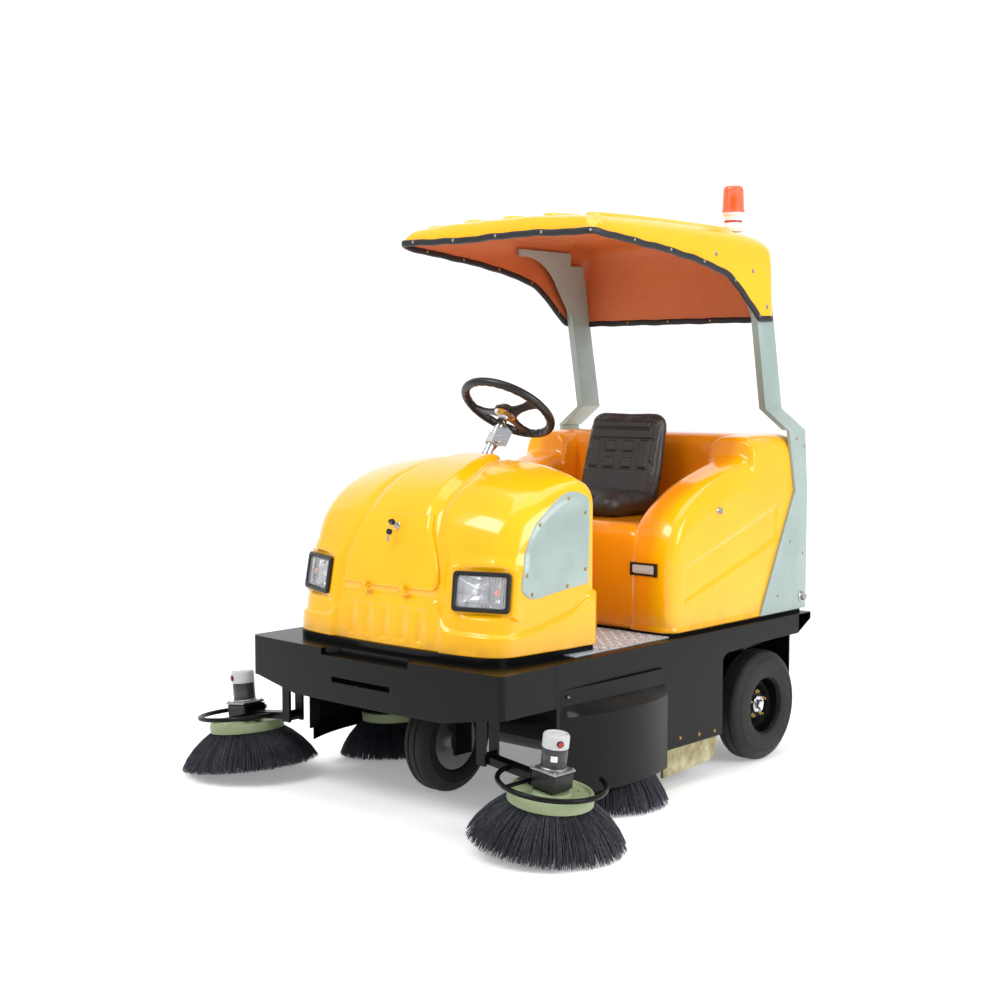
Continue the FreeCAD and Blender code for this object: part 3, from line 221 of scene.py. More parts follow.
def grey_green():
    """Grey-green enamel with specks of rust."""
    f = Finish("grey_green_paint", rgb(158, 176, 171), 0.34, Coat_Weight=0.3, Coat_Roughness=0.12)
    cloud = f.noise(4, 4, 0.6)
    rust = f.noise(42, 5, 0.6).ramp(0.66, 0.76)
    f.set("Base Color", f.mix(rust * 0.35, f.tint(cloud.ramp(0.3, 0.7), rgb(146, 164, 160), rgb(164, 181, 176)),
                              (*rgb(150, 140, 108), 1)))
    f.set("Roughness", cloud * 0.14 + 0.26)
    f.bump(f.noise(620, 2, 0.5), 0.00025, 0.3)
    return f.material


def rubber(name, dark, light, rough=0.62):
    f = Finish(name, dark, rough, Specular_IOR_Level=0.35)
    dust = f.axis("Z").ramp(0.0, DUST_HEIGHT, 0.75, 0.12) * f.noise(26, 5, 0.65).ramp(0.3, 0.75)
    f.set("Base Color", f.tint(dust, dark, light))
    f.set("Roughness", dust * 0.2 + rough)
    f.bump(f.noise(340, 4, 0.6) + f.noise(45, 3, 0.6), 0.0005, 0.4)
    return f.material


def metal(name, colour, rough, grain=0.12, scale=160):
    f = Finish(name, colour, rough, 1.0)
    scuff = f.noise(scale, 4, 0.62)
    f.set("Base Color", f.tint(scuff, tuple(c * 0.72 for c in colour), colour))
    f.set("Roughness", scuff * grain * 2 + rough - grain)
    f.bump(scuff, 0.0002, 0.3)
    return f.material


def plastic(name, colour, rough=0.42, coat=0.0):
    f = Finish(name, colour, rough, Coat_Weight=coat, Coat_Roughness=0.1)
    mottle = f.noise(30, 4, 0.6)
    f.set("Base Color", f.tint(mottle, tuple(c * 0.86 for c in colour), colour))
    f.set("Roughness", mottle * 0.12 + rough - 0.06)
    f.bump(f.noise(700, 2, 0.5), 0.00025, 0.35)
    return f.material


def bristle(name, dark, light):
    """Nylon filaments: each one a shade of its own, dusty towards its tip."""
    f = Finish(name, dark, 0.46, Specular_IOR_Level=0.5)
    shade = f.noise(130, 2, 0.5)
    f.set("Base Color", f.tint((shade.ramp(0.3, 0.7) + f.axis("Z").ramp(0.0, 0.10, 0.35, 0.0)).least(1.0), dark, light))
    f.set("Roughness", shade * 0.2 + 0.36)
    return f.material


def leather():
    """Black vinyl with a fine pebble grain."""
    f = Finish("seat_vinyl", rgb(34, 33, 34), 0.4, Coat_Weight=0.15, Coat_Roughness=0.25)
    pebble = f.cells(430).ramp(0.0, 0.75)
    crease = f.noise(34, 4, 0.6)
    f.set("Base Color", f.tint(crease * 0.6 + pebble * 0.4, rgb(24, 23, 24), rgb(50, 48, 48)))
    f.set("Roughness", crease * 0.18 + 0.34)
    f.bump(pebble + crease * 0.5, 0.0006, 0.45)
    return f.material


def clear_lens(name, colour, ribs, clouding):
    """Moulded lens: see-through, clouded a little where its optical ribs are thick."""
    f = Finish(name, colour, 0.05, IOR=1.45, Coat_Weight=0.6, Coat_Roughness=0.02)
    wave = (f.axis(ribs[0]) * (math.tau / ribs[1])).sine()
    f.set("Alpha", wave * 0.06 + f.noise(60, 2, 0.5) * 0.08 + clouding)
    f.bump(wave + f.noise(70, 2, 0.5), 0.0005, 0.35)
    return f.material


def tan_rubber():
    """Sheet rubber, stained and rubbed pale."""
    f = Finish("skirt_rubber", rgb(150, 142, 108), 0.7, Specular_IOR_Level=0.3)
    stain = f.noise(11, 5, 0.66)
    f.set("Base Color", f.node("ValToRGB", {"stops": [(0.30, rgb(92, 84, 58)), (0.48, rgb(150, 141, 104)),
                                                     (0.70, rgb(196, 190, 158))]}, {0: stain}))
    f.set("Roughness", stain * 0.2 + 0.58)
    f.bump(stain + f.noise(150, 4, 0.6) * 0.4, 0.001, 0.5)
    return f.material


def brushed_plate():
    """Tread plate, brushed one way and scuffed."""
    f = Finish("tread_steel", rgb(214, 215, 217), 0.34, 0.12)
    scuff = f.noise(70, 5, 0.7)
    brush = f.noise(14, 3, 0.6, (60, 1, 1))
    f.set("Base Color", f.tint(scuff.ramp(0.3, 0.7), rgb(172, 186, 198), rgb(228, 238, 246)))
    f.set("Roughness", scuff * 0.2 + brush * 0.12 + 0.12)
    f.bump(brush + scuff, 0.0002, 0.35)
    return f.material


def floor_finish():
    f = Finish("studio_floor", rgb(246, 246, 246), 0.8, Emission_Color=(1, 1, 1, 1), Emission_Strength=0.28)
    f.set("Base Color", f.tint(f.noise(0.8, 2, 0.5), rgb(244, 244, 244), rgb(248, 248, 248)))
    return f.material


YELLOW = gel_coat("yellow_gel_coat", rgb(254, 190, 12), rgb(252, 178, 6))
LINING = fibreglass_back()
BLACK = satin_black()
GREY = grey_green()
TYRE = rubber("tyre_rubber", rgb(22, 22, 23), rgb(66, 63, 60))
TRIM = rubber("trim_rubber", rgb(36, 37, 40), rgb(60, 60, 62), 0.42)
VINYL = leather()
BRISTLE = bristle("bristle_slate", rgb(20, 21, 25), rgb(66, 69, 80))
BROOM = bristle("broom_filament", rgb(16, 16, 18), rgb(44, 44, 47))
CHROME = metal("bright_chrome", rgb(226, 228, 232), 0.10, 0.04)
STEEL = metal("zinc_steel", rgb(186, 186, 184), 0.34)
GOLD = metal("yellow_zinc", rgb(206, 172, 92), 0.34, 0.1)
CAST = metal("cast_alloy", rgb(172, 174, 176), 0.42, 0.12, 90)
TREAD = brushed_plate()
HUB_GREEN = plastic("hub_plastic", rgb(150, 164, 124), 0.5)
SKIRT = tan_rubber()
MOTOR_GREY = plastic("motor_cap", rgb(196, 198, 198), 0.38)
MOTOR_DARK = plastic("motor_can", rgb(52, 53, 56), 0.36, 0.2)
WHITE = plastic("white_plastic", rgb(236, 236, 236), 0.4)
RED = plastic("red_plastic", rgb(190, 44, 40), 0.38)
KNOB = plastic("black_plastic", rgb(19, 19, 21), 0.38)
CLEAR = clear_lens("headlamp_lens", rgb(250, 252, 255), ("X", 0.011), 0.10)
AMBER = clear_lens("amber_lens", rgb(250, 96, 10), ("Z", 0.0045), 0.72)
BULB = plastic("orange_bulb", rgb(240, 106, 30), 0.3, 0.5)

CAD_FINISH = {
    BLACK: ["chassis_frame", "deck_plate", "front_bumper", "side_panel_left", "side_panel_right", "rear_bumper",
            "side_guards", "stub_axles", "broom_housing", "hopper", "steer_fork", "front_brush_arm_left",
            "front_brush_arm_right", "mid_brush_arm_left", "mid_brush_arm_right", "rear_rim_left", "rear_rim_right",
            "battery_pack"],
    TREAD: ["step_plate"],
    SKIRT: ["dust_skirts"],
    YELLOW: ["hood", "front_lid", "rear_body", "canopy"],
    GREY: ["hood_side_panels", "canopy_pillar_left", "canopy_pillar_right"],
    CHROME: ["steering_column"],
    WHITE: ["beacon_base"],
    AMBER: ["beacon_dome"],
    CLEAR: ["headlamps"],
    VINYL: ["seat"],
    KNOB: ["foot_pedals", "steering_wheel"],
    TYRE: ["front_tyre", "rear_tyre_left", "rear_tyre_right"],
    CAST: ["front_rim"],
    MOTOR_DARK: ["front_brush_motor_left", "front_brush_motor_right"],
    BRISTLE: ["front_brush_left", "front_brush_right", "mid_brush_left", "mid_brush_right"],
    BROOM: ["main_brush"],
}
for finish, nodes in CAD_FINISH.items():
    for node in nodes:
        for slot in frame["nodes"][node].material_slots:
            slot.material = finish


# ---------------------------------------------------------------- growing what repeats

class Tree(Nodes):
    """Geometry nodes with named sizes; the result becomes a plain mesh."""

    kinds = ("GeometryNode", "ShaderNode", "FunctionNode")

    def __init__(self, name, **sizes):
        self.tree = bpy.data.node_groups.new(name, "GeometryNodeTree")
        face = self.tree.interface
        face.new_socket("Geometry", in_out="INPUT", socket_type="NodeSocketGeometry")
        face.new_socket("Finish", in_out="INPUT", socket_type="NodeSocketMaterial")
        for key, value in sizes.items():
            kind = "NodeSocketInt" if isinstance(value, int) else "NodeSocketFloat"
            face.new_socket(key, in_out="INPUT", socket_type=kind).default_value = value
        face.new_socket("Geometry", in_out="OUTPUT", socket_type="NodeSocketGeometry")
        self.entry = self.tree.nodes.new("NodeGroupInput")

    def given(self, name):
        return Level(self, self.entry.outputs[name])

    def join(self, *parts):
        made = self.tree.nodes.new("GeometryNodeJoinGeometry")
        for part in parts:
            self.tree.links.new(part.socket, made.inputs[0])
        return Level(self, made.outputs[0])

    def chance(self, key, seed, low=0.0, high=1.0):
        """A number between low and high that stays the same for one key."""
        return self.node("RandomValue", {"data_type": "FLOAT"}, {2: low, 3: high, 7: key, 8: seed}, out=1)

    def end(self, geometry):
        real = self.node("RealizeInstances", inputs={"Geometry": geometry})
        done = self.node("SetMaterial", inputs={"Geometry": real, "Material": self.given("Finish")})
        leave = self.tree.nodes.new("NodeGroupOutput")
        self.tree.links.new(done.socket, leave.inputs[0])
        return self

    def grow(self, name, finish, body="chassis", points=((0, 0, 0),), facing=None, place=None, slot=None, **sizes):
        """Runs the tree on the points and keeps its result as one mesh on a body."""
        seedbed = bpy.data.meshes.new(name + "_points")
        seedbed.from_pydata([tuple(map(float, p)) for p in points], [], [])
        if facing is not None:
            stored = seedbed.attributes.new("facing", "FLOAT_VECTOR", "POINT")
            stored.data.foreach_set("vector", np.asarray(facing, float).ravel())
        host = bpy.data.objects.new(name + "_host", seedbed)
        bpy.context.scene.collection.objects.link(host)
        run = host.modifiers.new("grow", "NODES")
        run.node_group = self.tree
        for item in self.tree.interface.items_tree:
            if item.in_out == "INPUT" and item.name in {"Finish": 0, **sizes}:
                run[item.identifier] = finish if item.name == "Finish" else sizes[item.name]
        ready = host.evaluated_get(bpy.context.evaluated_depsgraph_get())
        mesh = bpy.data.meshes.new_from_object(ready)
        mesh.name = name
        for spare in [a.name for a in mesh.attributes if a.name in ("strand", "facing")]:
            mesh.attributes.remove(mesh.attributes[spare])
        host.modifiers.remove(run)
        bpy.data.objects.remove(host)
        if place is not None:
            mesh.transform(place)
        mesh.shade_smooth()
        made = bpy.data.objects.new(name, mesh)
        bpy.context.scene.collection.objects.link(made)
        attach(made, body)
        return made


def stud_tree():
    """Domed screw or rivet heads, one on each point, standing along its facing."""
    t = Tree("studs", Radius=0.005, Height=0.003)
    radius, height = t.given("Radius"), t.given("Height")
    skirt = t.node("MeshCone", inputs={"Vertices": 12, "Radius Bottom": radius, "Radius Top": radius * 0.86,
                                       "Depth": height * 0.45})
    dome = t.node("MeshCone", inputs={"Vertices": 12, "Radius Bottom": radius * 0.86, "Radius Top": radius * 0.3,
                                      "Depth": height * 0.55})
    lift = t.node("CombineXYZ", inputs={"Z": height * 0.45})
    dome = t.node("Transform", inputs={"Geometry": dome, "Translation": lift})
    facing = t.node("InputNamedAttribute", {"data_type": "FLOAT_VECTOR"}, {"Name": "facing"})
    turn = t.node("AlignRotationToVector", {"axis": "Z"}, {"Vector": facing}, out="Rotation")
    heads = t.node("InstanceOnPoints", inputs={"Points": t.given("Geometry"), "Instance": t.join(skirt, dome),
                                               "Rotation": turn})
    return t.end(heads)


def bristle_tree():
    """Disc brush about +Z: filaments from a root ring flaring down to their tips at z = 0."""
    t = Tree("bristles", Count=3000, Root=0.125, Tip=0.248, Height=0.13, Bell=0.35, Thickness=0.0013, Seed=3)
    row = t.node("MeshLine", {"mode": "OFFSET"}, {"Count": t.given("Count"), "Offset": (0, 0, 0)})
    row = t.node("StoreNamedAttribute", {"data_type": "FLOAT", "domain": "POINT"},
                 {"Geometry": row, "Name": "strand", "Value": t.node("InputIndex")})
    blade = t.node("MeshCylinder", {"fill_type": "NONE"},
                   {"Vertices": 3, "Side Segments": 4, "Radius": 1.0, "Depth": 1.0})
    strands = t.node("InstanceOnPoints", inputs={"Points": row, "Instance": blade})
    strands = t.node("RealizeInstances", inputs={"Geometry": strands})
    strand = t.node("InputNamedAttribute", {"data_type": "FLOAT"}, {"Name": "strand"})
    at = t.node("InputPosition")
    across, aside = (t.node("SeparateXYZ", inputs={0: at}, out=letter) for letter in "XY")
    down = 0.5 - t.node("SeparateXYZ", inputs={0: at}, out="Z")
    seed = t.given("Seed")
    depth = t.chance(strand, seed)
    down = down * t.chance(strand, seed + 1, 0.965, 1.0)
    angle = strand * 2.3999632 + t.chance(strand, seed + 2, -0.020, 0.020) * (down * 1.6 + 0.2)
    root = t.given("Root") * (1 - depth * 0.30)
    tip = t.given("Tip") * (1 - depth * 0.26)
    flare = down + t.given("Bell") * (down - down * down)
    radius = root + (tip - root) * flare + across * t.given("Thickness") * (1 - down * 0.3)
    height = t.given("Height") * (1 - down * (0.82 + down * 0.18))
    cosine = (angle + math.pi / 2).sine()
    sine = angle.sine()
    side = aside * t.given("Thickness") * (1 - down * 0.3)
    moved = t.node("CombineXYZ", inputs={"X": radius * cosine - side * sine, "Y": radius * sine + side * cosine,
                                         "Z": height})
    return t.end(t.node("SetPosition", inputs={"Geometry": strands, "Position": moved}))


def tread_tree():
    """Raised lozenges, turned a quarter from each one to the next."""
    t = Tree("tread", Width=1.04, Length=0.34, Across=39, Along=13, Lozenge=0.010, Rise=0.0012)
    spots = t.node("MeshGrid", inputs={"Size X": t.given("Width"), "Size Y": t.given("Length"),
                                       "Vertices X": t.given("Across"), "Vertices Y": t.given("Along")})
    grain = t.given("Lozenge")
    lozenge = t.node("MeshCone", inputs={"Vertices": 8, "Radius Bottom": grain, "Radius Top": grain * 0.6,
                                         "Depth": t.given("Rise")})
    lozenge = t.node("Transform", inputs={"Geometry": lozenge, "Scale": (1.0, 0.32, 1.0)})
    quarter = t.node("Math", {"operation": "MODULO"}, {0: t.node("InputIndex"), 1: 2.0})
    turn = t.node("CombineXYZ", inputs={"Z": quarter * (math.pi / 2) + math.pi / 4})
    return t.end(t.node("InstanceOnPoints", inputs={"Points": spots, "Instance": lozenge, "Rotation": turn}))


STUDS, BRISTLES, TREADS = stud_tree(), bristle_tree(), tread_tree()


def studs(name, finish, places, radius=0.0055, height=0.0032, body="chassis", both_sides=False):
    """Heads at (point, facing) places; both_sides adds each one's mirror image."""
    places = [(np.array(p, float), np.array(f, float)) for p, f in places]
    if both_sides:
        places += [(p * (-1, 1, 1), f * (-1, 1, 1)) for p, f in places]
    return STUDS.grow(name, finish, body, [p for p, _ in places], [f for _, f in places], Radius=radius, Height=height)


# ---------------------------------------------------------------- shaping

def through(points, per=10):
    """Smooth curve through the points, as a dense run of points."""
    p = np.array(points, float)
    p = np.vstack([2 * p[0] - p[1], p, 2 * p[-1] - p[-2]])
    t = np.linspace(0, 1, per, endpoint=False)[:, None]
    runs = [0.5 * (2 * b + (c - a) * t + (2 * a - 5 * b + 4 * c - d) * t ** 2 + (3 * b - a - 3 * c + d) * t ** 3)
            for a, b, c, d in zip(p[:-3], p[1:-2], p[2:-1], p[3:])]
    return np.vstack(runs + [p[-2:-1]])


def steps(value, *pairs):
    """Smooth run through (place, height) pairs, flat beyond both ends."""
    places, heights = zip(*pairs)
    line = through(pairs, 8)
    return np.interp(value, line[:, 0], line[:, 1]) if len(pairs) > 2 else np.interp(value, places, heights)


def ease(value, low, high):
    """0 below low, 1 above high, eased between them."""
    t = np.clip((value - low) / (high - low), 0, 1)
    return t * t * (3 - 2 * t)


class Outline:
    """Signed distance from a closed outline in a plane, tabulated on a fine grid."""

    def __init__(self, points, cell=0.005, margin=0.15):
        p = np.asarray(points, float)
        self.cell = cell
        self.low = p.min(0) - margin
        counts = np.ceil((p.max(0) + margin - self.low) / cell).astype(int) + 2
        grid = np.stack(np.meshgrid(*(self.low[k] + cell * np.arange(counts[k]) for k in (0, 1)), indexing="ij"), -1)
        flat = grid.reshape(-1, 2)
        nearest = np.full(len(flat), 99.0)
        inside = np.zeros(len(flat), bool)
        for a, b in zip(p, np.roll(p, -1, axis=0)):
            run = b - a
            length = run @ run
            if length < 1e-14:
                continue
            along = np.clip((flat - a) @ run / length, 0, 1)
            nearest = np.minimum(nearest, ((flat - a - along[:, None] * run) ** 2).sum(1))
            if a[1] != b[1]:
                crosses = (a[1] > flat[:, 1]) != (b[1] > flat[:, 1])
                inside ^= crosses & (flat[:, 0] < run[0] * (flat[:, 1] - a[1]) / run[1] + a[0])
        self.table = (np.where(inside, -1, 1) * np.sqrt(nearest)).reshape(counts)

    def at(self, u, v):
        x = np.clip((u - self.low[0]) / self.cell, 0, self.table.shape[0] - 1.001)
        y = np.clip((v - self.low[1]) / self.cell, 0, self.table.shape[1] - 1.001)
        i, j = x.astype(int), y.astype(int)
        fx, fy = x - i, y - j
        t = self.table
        return ((t[i, j] * (1 - fx) + t[i + 1, j] * fx) * (1 - fy)
                + (t[i, j + 1] * (1 - fx) + t[i + 1, j + 1] * fx) * fy)


def mirror_line(points):
    """Closed outline from its right half, given from one end of the centre line to the other."""
    p = np.asarray(points, float)
    return np.vstack([p, (p * (-1, 1))[::-1]])


def both(a, b, k):
    """Distance to the common of two shapes, its edge rounded over about k."""
    near = np.maximum(k - np.abs(a - b), 0) / k
    return np.maximum(a, b) + near * near * k / 4


class Lattice:
    """Quads round a box. Rays leave its faces square on, and fan round its edges."""

    def __init__(self, core, cells, fans, open_sides=()):
        axes = []
        for (low, high), count, (before, after) in zip(core, cells, fans):
            index = np.arange(before + count + after + 1)
            place = np.interp(index, [before, before + count], [low, high])
            turn = np.zeros(len(index))
            if before:
                turn = np.where(index < before, (index - before) / before, turn)
            if after:
                turn = np.where(index > before + count, (index - before - count) / after, turn)
            axes.append((place, turn))
        self.shape = [len(place) for place, _ in axes]
        quads = []
        for axis in range(3):
            for end in (0, 1):
                if (axis, end) in open_sides:
                    continue
                b, c = [k for k in range(3) if k != axis]
                grid = np.stack(np.meshgrid(np.arange(self.shape[b]), np.arange(self.shape[c]), indexing="ij"), -1)
                node = np.zeros(grid.shape[:2] + (3,), int)
                node[..., b], node[..., c] = grid[..., 0], grid[..., 1]
                node[..., axis] = end * (self.shape[axis] - 1)
                key = (node[..., 0] * self.shape[1] + node[..., 1]) * self.shape[2] + node[..., 2]
                face = np.stack([key[:-1, :-1], key[1:, :-1], key[1:, 1:], key[:-1, 1:]], -1).reshape(-1, 4)
                if (axis == 1) == bool(end):
                    face = face[:, ::-1]
                quads.append(face)
        keys, self.quads = np.unique(np.vstack(quads), return_inverse=True)
        self.quads = self.quads.reshape(-1, 4)
        i, rest = np.divmod(keys, self.shape[1] * self.shape[2])
        j, k = np.divmod(rest, self.shape[2])
        self.index = np.stack([i, j, k], 1)
        self.start = np.stack([axes[a][0][self.index[:, a]] for a in range(3)], 1)
        self.turn = np.stack([axes[a][1][self.index[:, a]] for a in range(3)], 1)

    def wrap(self, field, reach=0.6):
        """Where each ray meets the surface on which the field is 0."""
        ray = np.tan(self.turn * math.pi / 4)
        ray /= np.linalg.norm(ray, axis=1)[:, None]
        return march(self.start, ray, field, reach)


def march(start, ray, field, reach):
    """Where rays from inside a field first leave it, by halving."""
    low, high = np.zeros(len(start)), np.full(len(start), reach)
    for _ in range(22):
        middle = (low + high) / 2
        inside = field(*(start + ray * middle[:, None]).T) < 0
        low, high = np.where(inside, middle, low), np.where(inside, high, middle)
    return start + ray * ((low + high) / 2)[:, None]


def piece(name, points, faces, finish, body="chassis"):
    """A mesh at the origin that rides on a body."""
    mesh = bpy.data.meshes.new(name)
    mesh.from_pydata([tuple(map(float, p)) for p in points], [], [tuple(int(i) for i in face) for face in faces])
    mesh.validate()
    for one in (finish if isinstance(finish, (list, tuple)) else [finish]):
        mesh.materials.append(one)
    mesh.shade_smooth()
    made = bpy.data.objects.new(name, mesh)
    bpy.context.scene.collection.objects.link(made)
    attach(made, body)
    return made


def thicken(obj, depth):
    """Gives a skin its wall inwards, with the second finish on its back."""
    wall = obj.modifiers.new("wall", "SOLIDIFY")
    wall.thickness = depth
    wall.offset = -1
    wall.material_offset = 1
    wall.material_offset_rim = 0
    wall.use_even_offset = False


class Parts:
    """Several closed shapes gathered into one mesh."""

    def __init__(self):
        self.points, self.faces, self.finish, self.count = [], [], [], 0

    def add(self, points, faces, finish=0):
        self.points.append(np.asarray(points, float))
        self.faces += [tuple(int(i) + self.count for i in face) for face in faces]
        self.finish += [finish] * len(faces)
        self.count += len(points)
        return self

    def rings(self, rings, closed=True, finish=0, caps=True):
        """Skin over rings of equal count; caps close both ends."""
        n = len(rings[0])
        faces = []
        span = n if closed else n - 1
        for a in range(len(rings) - 1):
            faces += [(a * n + i, a * n + (i + 1) % n, (a + 1) * n + (i + 1) % n, (a + 1) * n + i) for i in range(span)]
        if caps:
            faces += [tuple(range(n))[::-1], tuple((len(rings) - 1) * n + i for i in range(n))]
        return self.add(np.vstack(rings), faces, finish)

    def lathe(self, profile, at, axis, count=32, finish=0, closed=False):
        """Turned shape: (radius, height) pairs along an axis from a point."""
        axis = Vector(axis).normalized()
        side = axis.orthogonal().normalized()
        up = axis.cross(side)
        rings = []
        for radius, height in profile:
            angle = np.linspace(0, math.tau, count, endpoint=False)[:, None]
            rings.append(np.array(at) + np.array(axis) * height
                         + max(radius, 1e-5) * (np.cos(angle) * np.array(side) + np.sin(angle) * np.array(up)))
        if closed:
            rings.append(rings[0])
        return self.rings(rings, finish=finish, caps=not closed)

    def bar(self, start, end, radius):
        """Round bar between two points."""
        start, end = Vector(start), Vector(end)
        return self.lathe([(radius, 0), (radius, (end - start).length)], start, end - start, 14)

    def slab(self, low, high, bevel=0.0015):
        """Box with chamfered edges."""
        low, high = np.minimum(low, high), np.maximum(low, high)
        rings = []
        for z, inset in ((low[2], bevel), (low[2] + bevel, 0), (high[2] - bevel, 0), (high[2], bevel)):
            x0, y0, x1, y1 = low[0] + inset, low[1] + inset, high[0] - inset, high[1] - inset
            rings.append(np.array([(x0 + bevel, y0, z), (x1 - bevel, y0, z), (x1, y0 + bevel, z),
                                   (x1, y1 - bevel, z), (x1 - bevel, y1, z), (x0 + bevel, y1, z),
                                   (x0, y1 - bevel, z), (x0, y0 + bevel, z)]))
        return self.rings(rings)

    def pipe(self, path, radius, count, closed=False):
        """Round tube along a path of points."""
        path = [Vector(p) for p in path]
        rings, normal = [], None
        for i, p in enumerate(path):
            ahead = path[(i + 1) % len(path)] if closed else path[min(i + 1, len(path) - 1)]
            behind = path[i - 1] if closed or i else path[0]
            along = (ahead - behind).normalized()
            if normal is None:
                normal = along.orthogonal().normalized()
            normal = (normal - along * normal.dot(along)).normalized()
            side = along.cross(normal)
            rings.append(np.array([p + radius * (math.cos(a) * normal + math.sin(a) * side)
                                   for a in np.linspace(0, math.tau, count, endpoint=False)]))
        if closed:
            rings.append(rings[0])
        return self.rings(rings, caps=not closed)

    def placed(self, matrix):
        """Moves all that is gathered so far by a matrix."""
        self.points = [np.array([matrix @ Vector(p) for p in ring]) for ring in self.points]
        return self

    def build(self, name, finish, body="chassis", slot=None, smooth=40):
        made = piece(name, np.vstack(self.points), self.faces, finish, body)
        made.data.polygons.foreach_set("material_index", self.finish)
        tidy(made, smooth)
        return made


def tidy(obj, angle=40):
    """Merges doubles, points every face outwards and keeps edges past the angle sharp."""
    bm = bmesh.new()
    bm.from_mesh(obj.data)
    bmesh.ops.remove_doubles(bm, verts=bm.verts, dist=1e-6)
    bmesh.ops.recalc_face_normals(bm, faces=bm.faces)
    for edge in bm.edges:
        edge.smooth = len(edge.link_faces) != 2 or edge.calc_face_angle(0) < math.radians(angle)
    bm.to_mesh(obj.data)
    bm.free()
    return obj


def mirrored(points):
    return np.asarray(points) * (-1, 1, 1)


# ---------------------------------------------------------------- hood

HOOD_PLAN = Outline(mirror_line(through([(0, -0.205), (0.25, -0.215), (0.44, -0.246)], 6).tolist()
                                + through([(0.497, -0.258), (0.511, -0.272), (0.502, -0.34), (0.486, -0.45),
                                           (0.475, -0.56), (0.467, -0.63), (0.448, -0.684), (0.408, -0.718),
                                           (0.34, -0.734), (0.20, -0.743), (0, -0.748)]).tolist()))
HOOD_SIDE = Outline(np.vstack([[(0.1, 0.40), (-0.762, 0.40)],
                               through([(-0.757, 0.50), (-0.749, 0.548), (-0.732, 0.650), (-0.714, 0.740),
                                        (-0.696, 0.830), (-0.666, 0.936), (-0.622, 1.008), (-0.545, 1.070),
                                        (-0.440, 1.115), (-0.330, 1.140), (-0.215, 1.150), (0.1, 1.152)], 14)]))
LID_LOW, LID_HIGH = 0.738, 0.985


def hump_width(y, z):
    """Half width of the raised centre of the hood, narrowing up its front and over its top."""
    front = steps(z, (0.70, 0.224), (0.738, 0.222), (0.80, 0.212), (0.86, 0.192), (0.936, 0.160), (0.991, 0.146),
                  (1.053, 0.140), (1.10, 0.130))
    top = steps(-y, (0.20, 0.070), (0.30, 0.090), (0.38, 0.108), (0.45, 0.126), (0.54, 0.140), (0.60, 0.142))
    return np.where(z > 1.07, top, front)


def crease(x, y):
    """Height of the moulded step round the hood's skirt."""
    ahead = steps(np.abs(x), (0.0, 0.716), (0.19, 0.712), (0.222, 0.698), (0.248, 0.650), (0.275, 0.628),
                  (0.33, 0.621), (0.46, 0.617))
    beside = steps(y, (-0.70, 0.615), (-0.63, 0.618), (-0.534, 0.631), (-0.46, 0.648), (-0.385, 0.668),
                   (-0.32, 0.700), (-0.262, 0.726), (-0.20, 0.745))
    return np.where(y > -0.66, beside, ahead)


LAMP_SWEEP, LAMP_LEAN = math.radians(20), math.radians(9)
LAMP_ACROSS = np.array((math.cos(LAMP_SWEEP), math.sin(LAMP_SWEEP), 0))
LAMP_UP = np.array((-math.sin(LAMP_SWEEP) * math.sin(LAMP_LEAN), math.cos(LAMP_SWEEP) * math.sin(LAMP_LEAN),
                    math.cos(LAMP_LEAN)))
LAMP_OUT = np.cross(LAMP_ACROSS, LAMP_UP)
LAMP_MIDDLE = np.array((0.291, -0.712, 0.684)) + LAMP_ACROSS * 0.099 + LAMP_UP * 0.064


def lamp_place(x, y, z):
    """Place against the left headlamp: along it, up it and out of it."""
    away = np.stack([x, y, z], -1) - LAMP_MIDDLE
    return away @ LAMP_ACROSS, away @ LAMP_UP, away @ LAMP_OUT


def hood_base(x, y, z):
    """The plain hood: plan, crowned side view and rolled shoulders."""
    drop = steps(np.abs(x), (0, 0), (0.14, 0.001), (0.27, 0.010), (0.40, 0.028), (0.49, 0.050))
    back = 0.20 * x * x
    return both(HOOD_PLAN.at(np.abs(x), y), HOOD_SIDE.at(y - back, z + drop), 0.085)


def hood_field(x, y, z):
    """The hood with its skirt, louvres, lamp brows and raised centre."""
    across = np.abs(x)
    ahead = ease(-y, 0.30, 0.44)
    skirt = ease(crease(x, y) - z, -0.004, 0.011) * 0.010
    hump = ease(hump_width(y, z) - across, -0.012, 0.026) * ease(z, 0.700, 0.760)
    valley = np.exp(-((across - hump_width(y, z) - 0.022) / 0.020) ** 2) * ease(z, 0.74, 0.95) * 0.007
    brow = ease(across, 0.232, 0.262) * (1 - ease(z, 0.806, 0.872)) * ahead * 0.012
    slots = np.zeros_like(x)
    for centre in (-0.16, -0.08, 0.0, 0.08, 0.16):
        half = 0.0155 - 0.006 * ease(0.582 - z, 0, 0.016)
        slots += (1 - ease(np.abs(x - centre), half - 0.004, half + 0.004)) * ease(z, 0.564, 0.571) \
            * (1 - ease(z, 0.672, 0.678)) * (0.004 + 0.005 * ease(z, 0.672, 0.575))
    slots = np.where(y < -0.6, slots, 0)
    body = hood_base(x, y, z) - skirt - 0.013 * hump + valley - brow + slots
    span, rise, out = lamp_place(across, y, z)
    beyond = np.maximum(np.abs(span) - 0.103, np.abs(rise) - 0.068)
    seat = ease(-beyond, -0.020, 0.0) * (out > -0.12)
    return body * (1 - seat) + (out + 0.001) * seat


